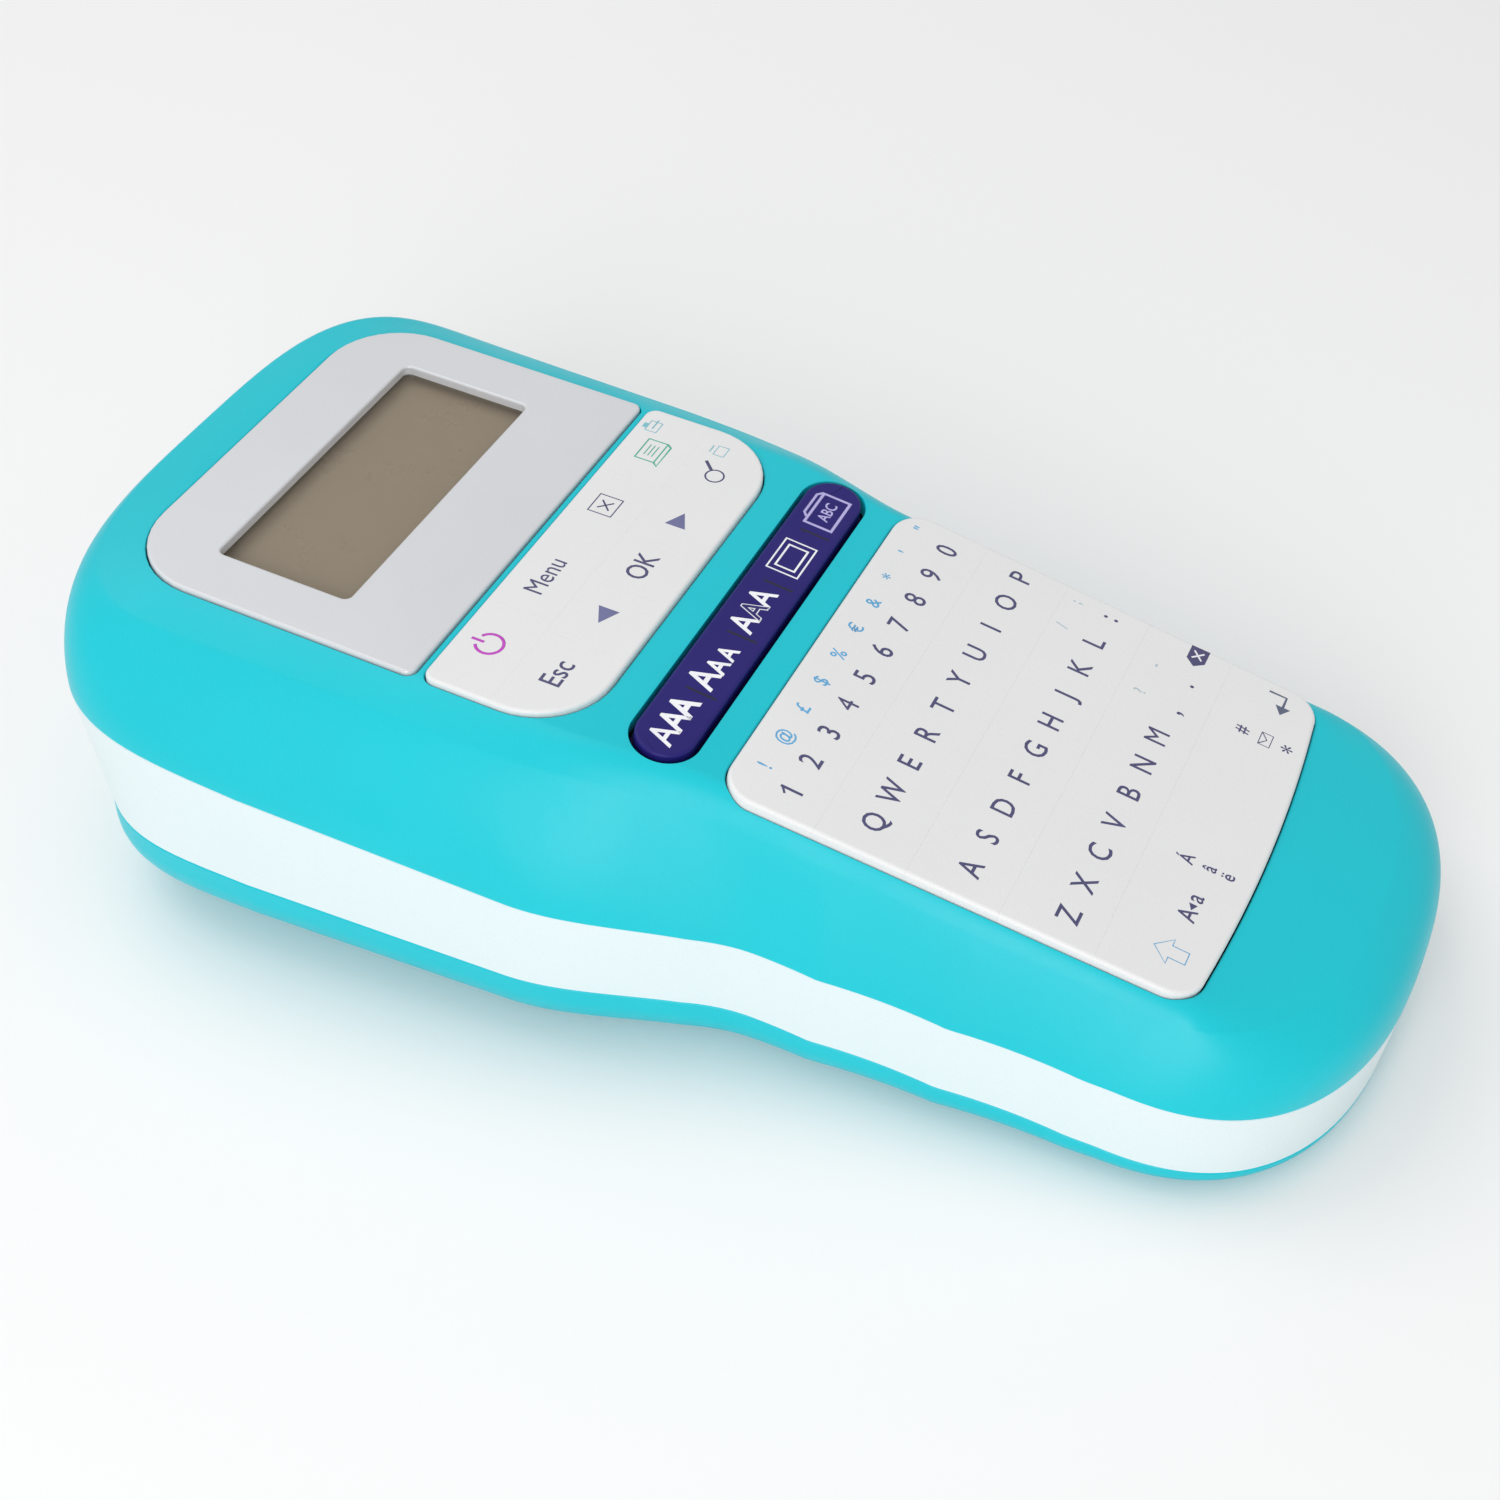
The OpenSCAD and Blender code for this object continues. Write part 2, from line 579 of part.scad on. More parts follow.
// ---- boards ----
board_w = 62;
module main_pcb() color("#1f6b3a") on_table() on_keys()
    translate([0, -41, board_z - board_t]) box(board_w, 88, board_t);
module upper_pcb() color("#1f6b3a") on_table() on_top()
    translate([0, 44.5, board_z - board_t]) box(68, 75, board_t);
module board_chips() color("#26282c") on_table() {
    on_keys() {
        translate([-8, -30, board_z - board_t - 1.4]) box(14, 14, 1.4);
        translate([14, -34, board_z - board_t - 1.1]) box(8, 10, 1.1);
        translate([-10, -62, board_z - board_t - 1.1]) box(8, 6, 1.1);
    }
    on_top() {
        translate([-18, 30, board_z - board_t - 1.2]) box(9, 9, 1.2);
        translate([14, 26, board_z - board_t - 4]) box(18, 5, 4);
    }
}

// ---- print mechanism ----
module mech_plate() color(STEEL) on_table() {
    difference() {
        translate([-1, 40, deck_z]) linear_extrude(plate_t) difference() {
            square([48, 48]);
            translate([-1, -1]) square([28, 20]);
        }
        translate([motor[0], motor[1], deck_z - 1]) cylinder(r = 1.8, h = 4);
        translate([platen[0], platen[1], deck_z - 1]) cylinder(r = shaft_r + 0.5, h = 4);
        translate([spindle[0], spindle[1], deck_z - 1]) cylinder(r = spindle_r + 0.5, h = 4);
    }
    for (p = [idler, ribbon_idler_at]) translate([p[0], p[1], deck_z + plate_t - eps])
        cylinder(r = shaft_r, h = gear_w + 1.2);
}
module placed(p, z, a = 0) { translate([p[0], p[1], z]) rotate(a) children(); }
module feed_motor() color(STEEL) on_table() placed(motor, 0) difference() {
    union() {
        translate([0, 0, deck_low - motor_l]) cylinder(r = motor_r, h = motor_l);
        translate([0, 0, deck_low - eps]) cylinder(r = 2.9, h = 1.5);
    }
    translate([0, 0, deck_low - 6]) cylinder(r = motor_shaft_r + run_gap, h = 9);
}
module motor_pinion() color(BRASS) on_table() placed(motor, 0) {
    translate([0, 0, gear_z]) rotate(turn_motor) gear(teeth[0], 0);
    translate([0, 0, deck_low - 5]) cylinder(r = motor_shaft_r, h = gear_z - deck_low + 5 + eps);
}
module idler_gear() color(WHITE) on_table() placed(idler, gear_z, turn_idler)
    gear(teeth[1], shaft_r + run_gap);
module ribbon_idler() color(WHITE) on_table() placed(ribbon_idler_at, gear_z, turn_ribbon)
    gear(teeth[3], shaft_r + run_gap);
module platen_gear() color(WHITE) on_table() placed(platen, gear_z, turn_platen)
    gear(teeth[2], shaft_r);
module platen_shaft() color(STEEL) on_table() placed(platen, roll_low - 2)
    cylinder(r = shaft_r, h = gear_z + gear_w + 0.6 - roll_low + 2);
module platen_roller() color(RUBBER) on_table() placed(platen, roll_low) difference() {
    cylinder(r = platen_r, h = roll_high - roll_low);
    translate([0, 0, -1]) cylinder(r = shaft_r, h = 40);
}
module ribbon_spindle() color(WHITE) on_table() placed(spindle, 0) {
    translate([0, 0, gear_z]) rotate(turn_spindle) gear(teeth[4], 0);
    translate([0, 0, roll_low + 2]) cylinder(r = spindle_r, h = gear_z - roll_low - 2 + eps);
}
head_x = platen[0] - platen_r - 0.5;
module print_head() color("#e8e4da") on_table()
    translate([head_x - 1.5, 74, roll_low]) cube([1.5, 10, roll_high - roll_low]);
module head_arm() color(STEEL) on_table() difference() {
    union() {
        translate([head_x - 2.7, 72.8, roll_low]) cube([1.2, 13, roll_high - roll_low]);
        translate([head_x - 2.7, head_pivot[1], -20]) cube([1.2, 3, 8]);
        placed(head_pivot, -20) cylinder(r = 2, h = 8);
    }
    placed(head_pivot, -30) cylinder(r = 1.2 + run_gap, h = 30);
}
module head_spring() color(STEEL) on_table() placed(head_pivot, -11.8) coil(1.9, 0.5, 4, 6.5);
module cutter_lever() color(TEAL) on_table() difference() {
    union() {
        intersection() {
            level_loft(0.2, paddle_z[0], paddle_z[1]);
            translate([44.6, paddle[0], -30]) cube([20, paddle[1] - paddle[0], 60]);
        }
        slab(paddle_z[0], paddle_z[1]) polygon([[43, 66], [43, 84], [37.4, 90.5], [37.4, 94],
            [40.6, 94], [47, 87], [47, 74], [49.2, 66]]);
        placed([39, 92.7], roll_low) box(3.2, 2.6, paddle_z[0] - roll_low + 1);
        placed(lever_at, paddle_z[0]) cylinder(r = 3.2, h = paddle_z[1] - paddle_z[0]);
    }
    placed(lever_at, -30) cylinder(r = 1.5 + run_gap, h = 30);
}
module cutter_blade() color(STEEL) on_table()
    translate([33.4, 94, roll_low]) cube([7, 0.6, roll_high - roll_low]);
module cutter_spring() color(STEEL) on_table() placed(lever_at, paddle_z[1] + 0.15) coil(2.2, 0.5, 2, 2.2);
module dc_jack() color(RUBBER) on_table() translate(jack_at) {
    difference() {
        union() {
            translate([0, -jack_size[1] / 2, -jack_size[2] / 2]) cube(jack_size);
            translate([jack_size[0] - eps, 0, 0]) rotate([0, 90, 0]) cylinder(r = 3.3, h = 1.6);
        }
        translate([3, 0, 0]) rotate([0, 90, 0]) cylinder(r = 2.75, h = 20);
    }
    translate([3 - eps, 0, 0]) rotate([0, 90, 0]) cylinder(r = 1, h = 8.6);
}

// ---- cassette ----
case_t = 1.2;
tape_at = [-7, 48];
supply_at = [-19, 72.5];
module cassette_2d(d) {
    difference() {
        translate([cassette_x, cassette_y]) square([cassette_w - 2 * d, cassette_l - 2 * d], center = true);
        translate([notch_x - d, notch_y - d]) square([30, 40]);
    }
}
module cassette_shell() color("#3a3d42") on_table() difference() {
    slab(cassette_top - cassette_h + case_t, cassette_top) cassette_2d(0);
    slab(cassette_top - cassette_h, cassette_top - case_t) cassette_2d(case_t);
    placed(spindle, cassette_top - 5) cylinder(r = spindle_r + 0.6, h = 10);
    translate([notch_x - 4, notch_y - 3, roll_low]) cube([9, 1.2, roll_high - roll_low]);
}
module cassette_lid() color("#8f9499") on_table() {
    difference() {
        slab(cassette_top - cassette_h, cassette_top - cassette_h + case_t) cassette_2d(0);
        placed(spindle, cassette_top - cassette_h - 1) cylinder(r = spindle_r + 0.6, h = 4);
    }
    for (p = [tape_at, supply_at]) placed(p, cassette_top - cassette_h + case_t - eps)
        cylinder(r = 1.8, h = cassette_h - 2 * case_t - 0.4);
}
module reel(at, r, bore) placed(at, roll_low) difference() {
    cylinder(r = r, h = roll_high - roll_low);
    translate([0, 0, -1]) cylinder(r = bore, h = 40);
}
module tape_roll() color("white") on_table() reel(tape_at, roll_r, 1.8 + run_gap);
module ribbon_supply() color("#202226") on_table() reel(supply_at, 7, 1.8 + run_gap);
module ribbon_takeup() color("#202226") on_table() reel(spindle, 4.8, spindle_r + 0.3);

// ---- batteries ----
function cell_x(i) = (i - (cells - 1) / 2) * cell_pitch;
contact_t = 0.4;
contact_y = bay_l / 2 - 0.05 - contact_t;         // inner face of the contact plates
spring_l = 2 * contact_y - cell_l - 0.15;
module at_cell(i) {
    s = i % 2 == 0 ? 1 : -1;
    translate([cell_x(i), cell_y, cell_z]) rotate([-90 * s, 0, 0]) children();
}
module batteries() color("#4b5a66") on_table() for (i = [0:cells - 1])
    at_cell(i) translate([0, 0, contact_y - cell_l - 0.05]) {
        cylinder(r = cell_r, h = cell_l - 1);
        cylinder(r = 1.9, h = cell_l);
    }
module battery_springs() color(STEEL) on_table() for (i = [0:cells - 1])
    at_cell(i) translate([0, 0, 0.05 - contact_y]) coil(2.4, 0.5, 2.5, spring_l);
module battery_contacts() color(STEEL) on_table() for (i = [0:cells - 1], s = [-1, 1])
    translate([cell_x(i), cell_y + s * (contact_y + contact_t / 2), cell_z - 4]) box(8.6, contact_t, 8);

module case_screws() color(STEEL) on_table() for (p = screw_at, s = [-1, 1])
    placed([s * p[0], p[1]], deck_low - 1.6) {
        cylinder(r = 2.4, h = 1.6);
        cylinder(r = screw_r, h = deck_t + 1.6 + 6);
    }

top_cover();
mid_case();
back_cover();
cover_latch();
display_panel();
lcd_lens();
lcd_glass();
lcd_holder();
lcd_flex();
nav_pad();
nav_key_power();
nav_key_menu();
nav_key_clear();
nav_key_print();
nav_key_escape();
nav_key_left();
nav_key_ok();
nav_key_right();
nav_key_preview();
style_pad();
style_key_bold();
style_key_outline();
style_key_shadow();
style_key_frame();
style_key_label();
key_pad();
key_row_digits();
key_row_upper();
key_row_home();
key_row_lower();
key_row_space();
main_pcb();
upper_pcb();
board_chips();
print_head();
head_arm();
head_spring();
dc_jack();
mech_plate();
feed_motor();
motor_pinion();
idler_gear();
ribbon_idler();
platen_gear();
platen_shaft();
platen_roller();
ribbon_spindle();
cutter_lever();
cutter_blade();
cutter_spring();
cassette_shell();
cassette_lid();
tape_roll();
ribbon_supply();
ribbon_takeup();
batteries();
battery_springs();
battery_contacts();
case_screws();
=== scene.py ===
import math

import bmesh
import bpy
from mathutils import Matrix, Vector


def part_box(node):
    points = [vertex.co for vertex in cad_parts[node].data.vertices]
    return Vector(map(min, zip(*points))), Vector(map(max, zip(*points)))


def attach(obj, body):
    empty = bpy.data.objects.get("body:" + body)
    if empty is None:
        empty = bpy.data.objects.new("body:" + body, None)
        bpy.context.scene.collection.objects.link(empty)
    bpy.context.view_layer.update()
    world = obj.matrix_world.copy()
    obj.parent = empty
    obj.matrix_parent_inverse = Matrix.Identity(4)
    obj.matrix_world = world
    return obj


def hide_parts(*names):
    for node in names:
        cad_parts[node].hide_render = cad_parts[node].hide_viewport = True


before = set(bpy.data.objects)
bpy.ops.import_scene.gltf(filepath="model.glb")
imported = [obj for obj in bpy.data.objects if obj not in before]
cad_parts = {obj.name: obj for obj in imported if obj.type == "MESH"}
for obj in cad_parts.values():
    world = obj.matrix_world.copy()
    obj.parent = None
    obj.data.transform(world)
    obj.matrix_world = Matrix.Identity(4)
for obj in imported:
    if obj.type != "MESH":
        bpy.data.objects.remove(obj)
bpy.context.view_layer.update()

# The label maker's skins are shaped in its own body frame, in millimetres: x to the user's right,
# y towards the display end, z = 0 on the parting plane above the light band. ON_TABLE then tilts
# them onto the flat of the back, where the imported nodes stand.
MM = 0.001
TILT = math.radians(7.2)
BAND_H = 12.8
BAND_GAIN = 4.7          # height that the band gains along the body
BAND_DROP, DROP_Y = 5.2, -10   # further height that it gains from DROP_Y on
LEAN = 5                 # how far the display end leans in at the seam
HEEL_H = 3.1
TUCK = 0.19              # share of the back's depth that goes straight down
END_LO = -103.5
END_HI = 106.5
WALL = 2.2
RIDGE_H, RIDGE_Y, RIDGE_T = 20.6, 7.8, 8.0
KEY_SLOPE, TOP_SLOPE, STRIP_SLOPE = (math.radians(a) for a in (5.7, 1.9, 3.4))
STRIP_Y = 4.6
PAD_RISE = 0.8
BROW = 2.2               # how far the soft brow reaches into the face
BROW_START = 66          # where it leaves the flank's curve, in degrees
BROW_STEPS = 8
EDGE = 0.22              # broken edge along the casing's seams
BAND_WALL = 1.3          # the band's skin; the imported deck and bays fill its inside
SEAM = 0.008             # width of the seam between two pads
CLEAR = 0.013            # keeps a cutter's lip off the face plane
PAST = 120               # a cut this far out misses the piece


def mix(a, b, t):
    return a + (b - a) * t


def smooth(t):
    t = min(max(t, 0), 1)
    return t * t * (3 - 2 * t)


# ---- outlines of the body ----
# An end is where its superellipse starts, how long it is, and its power.
GRIP_END = (END_LO + 32.8, 32.8, 2.4)
HEAD_END = (END_HI - 44.5, 44.5, 3.7)
FACE_LO, FACE_HI = END_LO + 20.5, END_HI - 8
FACE_ENDS = (FACE_LO + 8, 8, 2.8), (FACE_HI - 16, 16, 2.6)
FOOT_ENDS = (GRIP_END[0], 29, 2.6), (HEAD_END[0] - 2, 32.5, 3)
GRIP_X, GRIP_FLARE = 41.3, 0.05        # half widths, and how they grow with y
HEAD_X, HEAD_FLARE = 54.5, 0.042
FACE_GRIP_X, FACE_HEAD_X, FACE_FLARE = 32.4, 37.2, 0.024
WAIST_L = 36             # length over which the grip widens into the head
FACE_WAIST_Y, FACE_WAIST_L = -6, 24
BACK_DRAFT = 0.95        # how far the back draws in for each millimetre of depth
SCOOP, SCOOP_PITCH, SCOOP_Y = 0.5, 19.4, -66.4


def scoop_at(y):
    u = (y - SCOOP_Y) / SCOOP_PITCH
    return 0 if u < 0 or u > 3 else SCOOP * 4 * (u % 1) * (1 - u % 1)


def rim_x(y):
    grip = GRIP_X + GRIP_FLARE * (y - GRIP_END[0])
    head = HEAD_X + HEAD_FLARE * (min(y, HEAD_END[0]) - HEAD_END[0])
    return mix(grip, head, smooth(0.5 + y / WAIST_L)) - scoop_at(y)


def face_x(y):
    grip = FACE_GRIP_X + FACE_FLARE * (min(y, FACE_WAIST_Y) - FACE_LO)
    return mix(grip, FACE_HEAD_X, smooth((y - FACE_WAIST_Y) / FACE_WAIST_L))


def seam_z(y):
    """The light band's lower edge, which falls away towards the display end."""
    gain = BAND_GAIN * (y - END_LO) / (END_HI - END_LO)
    drop = BAND_DROP * max(y - DROP_Y, 0) / (END_HI - DROP_Y)
    return -BAND_H - gain - drop


def foot_z(y):
    """The flat under the back."""
    return -BAND_H - HEEL_H - (y - END_LO) * math.tan(TILT)


def foot_x(y):
    return rim_x(y) - BACK_DRAFT * (-BAND_H - foot_z(y)) + scoop_at(y)


def face_z(y):
    a, b, start = math.tan(KEY_SLOPE), -math.tan(TOP_SLOPE), RIDGE_Y - RIDGE_T
    if y < start:
        return RIDGE_H + a * (y - RIDGE_Y)
    if y > RIDGE_Y + RIDGE_T:
        return RIDGE_H + b * (y - RIDGE_Y)
    return RIDGE_H + a * (y - RIDGE_Y) + (b - a) * (y - start) ** 2 / (4 * RIDGE_T)


END_STEPS = 36
SIDE_STEPS = 110
LAST = SIDE_STEPS + 2 * END_STEPS


def side(width, lo, hi):
    """One side of an outline: a superellipse quarter at each end and the width function between."""
    points = []
    for i in range(END_STEPS):
        a = math.radians(90 * i / END_STEPS)
        points.append((width(lo[0]) * math.sin(a) ** (2 / lo[2]), lo[0] - lo[1] * math.cos(a) ** (2 / lo[2])))
    for i in range(SIDE_STEPS + 1):
        y = mix(lo[0], hi[0], i / SIDE_STEPS)
        points.append((width(y), y))
    for i in range(1, END_STEPS + 1):
        a = math.radians(90 * i / END_STEPS)
        points.append((width(hi[0]) * max(math.cos(a), 0) ** (2 / hi[2]) * (i < END_STEPS),
                       hi[0] + hi[1] * math.sin(a) ** (2 / hi[2])))
    return [Vector(p) for p in points]


def inset(outline, d):
    """The outline moved inwards by d."""
    moved = []
    for i, p in enumerate(outline):
        before = outline[i - 1] if i else Vector((-outline[1].x, outline[1].y))
        after = outline[i + 1] if i < LAST else Vector((-outline[LAST - 1].x, outline[LAST - 1].y))
        t = (after - before).normalized()
        moved.append(Vector((p.x - d * t.y, p.y + d * t.x)))
    moved[0].x = moved[LAST].x = 0
    return moved


RIM = side(rim_x, GRIP_END, HEAD_END)
FACE = side(face_x, *FACE_ENDS)
FOOT = side(foot_x, *FOOT_ENDS)


def fullness(i):
    """How far the flank at point i bulges: 1 is straight, 2 elliptic."""
    flank = mix(1.1, 1.42, smooth((RIM[i].y + 10) / 40))
    return mix(flank, 3.3, smooth(max(1 - i / END_STEPS, 1 - (LAST - i) / END_STEPS, 0)))


# ---- places of the body, its faces and the strip ----
LIFT = (BAND_H + HEEL_H) * math.cos(TILT) - END_LO * math.sin(TILT)
MIDDLE = (END_LO + END_HI) * math.cos(TILT) / 2
ON_TABLE = (Matrix.Scale(MM, 4) @ Matrix.Translation((0, -MIDDLE, LIFT)) @ Matrix.Rotation(TILT, 4, "X"))
RIDGE = Matrix.Translation((0, RIDGE_Y, RIDGE_H))
ON_KEYS = RIDGE @ Matrix.Rotation(KEY_SLOPE, 4, "X")
ON_TOP = RIDGE @ Matrix.Rotation(-TOP_SLOPE, 4, "X")
ON_STRIP = Matrix.Translation((0, STRIP_Y, face_z(STRIP_Y))) @ Matrix.Rotation(STRIP_SLOPE, 4, "X")

# ---- plan of the face ----
PANEL_W, PANEL_L, PANEL_Y, PANEL_R = 72.2, 52.4, 60.5, 13
PANEL_RISE = 0.5
WINDOW_W, WINDOW_L, WINDOW_Y = 53.8, 23.2, 62.45
NAV_W, NAV_L, NAV_Y, NAV_R = 72, 24.9, 20.35, 12
NAV_SPLIT = 21.6
NAV_UPPER_X = (-35.2, -17.1, 0.8, 18.1, 35.2)
NAV_LOWER_X = (-35.2, -19.3, -6.1, 6.1, 18.8, 35.2)
STRIP_W, STRIP_L = 68, 10.3
STRIP_INSET = 0.55
STRIP_TOP = PAD_RISE * 0.7
STYLE_X = (-33, -19.9, -6.4, 6.4, 19.9, 33)
KEYPAD_Y, KEYPAD_TOP_W, KEYPAD_LOW_W = -49.4, 68.4, 64.8
KEYPAD_R, KEYPAD_BOW = 5, 1.4
KEY_PITCH, ROW_PITCH = 6.43, 13.9
KEYPAD_L = 5 * ROW_PITCH + 2
OPENING_GAP = 0.22
LIP = 0.4                # radius of the window's lip


# ---- modelling helpers ----
def only(piece):
    """Selects one piece and nothing else."""
    bpy.ops.object.select_all(action="DESELECT")
    piece.select_set(True)
    bpy.context.view_layer.objects.active = piece
    return piece


def edit(piece):
    only(piece)
    bpy.ops.object.mode_set(mode="EDIT")


def done():
    bpy.ops.object.mode_set(mode="OBJECT")


def fresh(name):
    piece = bpy.context.active_object
    piece.name = piece.data.name = name
    return piece


def apply_all(piece):
    only(piece)
    for m in list(piece.modifiers):
        bpy.ops.object.modifier_apply(modifier=m.name)
    return piece


def place(piece, *matrices):
    """Turns a finished shape from its own plane onto the label maker, with its object at the origin."""
    whole = ON_TABLE.copy()
    for m in matrices:
        whole = whole @ m
    piece.data.transform(whole @ piece.matrix_world)
    piece.matrix_world = Matrix.Identity(4)
    return piece


def soften(piece):
    only(piece)
    bpy.ops.object.shade_smooth_by_angle(angle=math.radians(32))
    weigh = piece.modifiers.new("even shading", "WEIGHTED_NORMAL")
    weigh.keep_sharp = True
    weigh.weight = 60
    return apply_all(piece)


def carve(piece, tool, operation="DIFFERENCE"):
    m = piece.modifiers.new("carve", "BOOLEAN")
    m.operation, m.solver, m.object = operation, "EXACT", tool
    apply_all(piece)
    bpy.data.objects.remove(tool)
    return piece


def laid(tool, at):
    """A cutter, moved by the matrix at, which its mesh takes on."""
    tool.matrix_world = at
    only(tool)
    bpy.ops.object.transform_apply(location=True, rotation=True, scale=True)
    return tool


def block(name, at, size):
    bpy.ops.mesh.primitive_cube_add(size=1)
    return laid(fresh(name), Matrix.Translation(at) @ Matrix.Diagonal((*size, 1)))


def join(pieces, name):
    only(pieces[0])
    for p in pieces[1:]:
        p.select_set(True)
    if len(pieces) > 1:
        bpy.ops.object.join()
    return fresh(name)


def loft(name, rings):
    """A closed solid through rings of points, bottom to top. It starts as a grid whose rows are
    the rings; both ends are closed by strips that join the two sides."""
    count = 2 * LAST
    bpy.ops.mesh.primitive_grid_add(x_subdivisions=count, y_subdivisions=len(rings) - 1, size=2)
    piece = fresh(name)
    piece.matrix_world = Matrix.Identity(4)
    for row, points in enumerate(rings):
        around = points + [Vector((-p.x, p.y, p.z)) for p in points[LAST - 1:0:-1]]
        around.append(around[0])
        for k, p in enumerate(around):
            piece.data.vertices[row * (count + 1) + k].co = p
    edit(piece)
    bpy.ops.mesh.select_all(action="SELECT")
    bpy.ops.mesh.remove_doubles(threshold=0.0005)
    done()
    bm = bmesh.new()
    bm.from_mesh(piece.data)
    near = {}
    for v in bm.verts:
        near[tuple(round(c, 2) for c in v.co)] = v
    for points in (rings[0], rings[-1]):
        right = [near.get(tuple(round(c, 2) for c in p)) for p in points]
        left = [near.get(tuple(round(c, 2) for c in (-p.x, p.y, p.z))) for p in points]
        for i in range(LAST):
            corners = []
            for v in (right[i], right[i + 1], left[i + 1], left[i]):
                if v is not None and v not in corners:
                    corners.append(v)
            if len(corners) > 2 and bm.faces.get(corners) is None:
                bm.faces.new(corners)
    bmesh.ops.recalc_face_normals(bm, faces=bm.faces)
    bm.to_mesh(piece.data)
    bm.free()
    return piece


def at_z(outline, z):
    return [Vector((p.x, p.y, z)) for p in outline]


def leant(outline):
    """A side as it is at the seam, where the display end leans in."""
    return [Vector((p.x, p.y - LEAN * smooth((p.y - HEAD_END[0]) / HEAD_END[1]))) for p in outline]


def at_seam(outline, up):
    return [Vector((p.x, p.y, seam_z(p.y) + up)) for p in leant(outline)]


def rounded(w, l, lo, hi, steps=10):
    """A rectangle round its centre, with corner radii lo at the near end and hi at the far end."""
    points = []
    for sx, sy, r, start in ((1, -1, lo, 270), (1, 1, hi, 0), (-1, 1, hi, 90), (-1, -1, lo, 180)):
        for k in range(steps + 1):
            a = math.radians(start + 90 * k / steps)
            points.append(Vector((sx * (w / 2 - r) + r * math.cos(a), sy * (l / 2 - r) + r * math.sin(a))))
    return points


def prism(name, outline, rows):
    """A closed solid over an outline. Each row gives how far the outline is grown, and at what z."""
    count = len(outline)
    bpy.ops.mesh.primitive_circle_add(vertices=count, radius=1, fill_type="NGON")
    piece = fresh(name)
    piece.matrix_world = Matrix.Identity(4)
    edit(piece)
    bpy.ops.mesh.select_mode(type="FACE")
    bpy.ops.mesh.select_all(action="SELECT")
    for _ in rows[1:]:
        bpy.ops.mesh.extrude_region_move(TRANSFORM_OT_translate={"value": (0, 0, 1)})
    done()
    for v in piece.data.vertices:
        grow, z = rows[round(v.co.z)]
        k = round(math.atan2(v.co.y, v.co.x) / (2 * math.pi) * count) % count
        t = (outline[(k + 1) % count] - outline[k - 1]).normalized()
        v.co = (outline[k].x + grow * t.y, outline[k].y - grow * t.x, z)
    edit(piece)
    bpy.ops.mesh.select_all(action="SELECT")
    bpy.ops.mesh.normals_make_consistent(inside=False)
    done()
    return piece


def quarter(r):
    """A rounded lip or edge of radius r, as (grow, z) from its side to its top."""
    turns = [math.radians(90 * k / 5) for k in range(6)]
    return [(r * (1 - math.cos(a)), r * (math.sin(a) - 1)) for a in turns]


def slab(name, outline, z0, z1, edge=0):
    """A prism over an outline, its upper edge rounded to the radius edge."""
    rows = [(0, z0)] + ([(-g, z1 + z) for g, z in quarter(edge)] if edge else [(0, z1)])
    return prism(name, outline, rows)


def opening(name, outline, z0, lip):
    """A cutter whose walls open out over a rounded lip at z = 0."""
    return prism(name, outline, [(0, z0)] + quarter(lip) + [(lip, 4)])


def shifted(outline, x, y):
    return [Vector((p.x + x, p.y + y)) for p in outline]


def cut_out(piece, name, x0, x1, y0, y1):
    """A copy of the piece between two columns and two rows, closed along its cuts."""
    only(piece)
    bpy.ops.object.duplicate()
    part = fresh(name)
    for axis, at, sign in ((0, x0, -1), (0, x1, 1), (1, y0, -1), (1, y1, 1)):
        edit(part)
        bpy.ops.mesh.select_all(action="SELECT")
        normal = [0, 0, 0]
        normal[axis] = sign
        point = [0, 0, 0]
        point[axis] = at - sign * SEAM / 2
        bpy.ops.mesh.bisect(plane_co=point, plane_no=normal, use_fill=True, clear_outer=True)
        done()
    return part


# ---- the casing's skins ----
SLIT_X, SLIT_W = 30.5, 3          # the slit that the printed tape leaves by


def upper_rings(d, z_foot, steps):
    """Rings of the upper shell, moved inwards by d: the foot, the curved flank, and a soft brow
    where the flank meets the face."""
    rim, face, inner = inset(RIM, d), inset(FACE, d), inset(FACE, d + BROW)
    rings = [at_z(rim, z_foot)] if z_foot < 0 else [at_z(inset(rim, 0.18), 0.02)]

    def flank(i, a):
        n = 2 / fullness(i)
        p = face[i].lerp(rim[i], math.cos(a) ** n)
        return Vector((p.x, p.y, (face_z(face[i].y) - d) * math.sin(a) ** n))

    top = math.radians(90)
    start = math.radians(BROW_START)
    for k in range(steps + 1):
        a = mix(math.radians(0.6), start, k / steps)
        rings.append([flank(i, a) for i in range(LAST + 1)])
    low = [flank(i, start) for i in range(LAST + 1)]
    crease = [flank(i, top) for i in range(LAST + 1)]
    crown = [Vector((p.x, p.y, face_z(p.y) - d)) for p in inner]
    for k in range(1, BROW_STEPS + 1):
        t = k / BROW_STEPS
        rings.append([a.lerp(b, t).lerp(b.lerp(c, t), t) for a, b, c in zip(low, crease, crown)])
    return rings


def back_rings(d, up, steps=14):
    rim, foot = leant(inset(RIM, d)), inset(FOOT, d)
    rings = []
    for k in range(steps, -1, -1):
        a = math.radians(90 * k / steps)
        g, h = 1 - math.cos(a), mix(TUCK, 1, math.sin(a))
        ring = []
        for r, f in zip(rim, foot):
            p = r.lerp(f, g)
            ring.append(Vector((p.x, p.y, mix(seam_z(p.y), foot_z(p.y) + d, h))))
        rings.append(ring)
    if up:
        return rings + [at_seam(inset(RIM, d), up)]
    return rings + [at_seam(RIM, -0.25), at_seam(inset(RIM, EDGE), 0)]


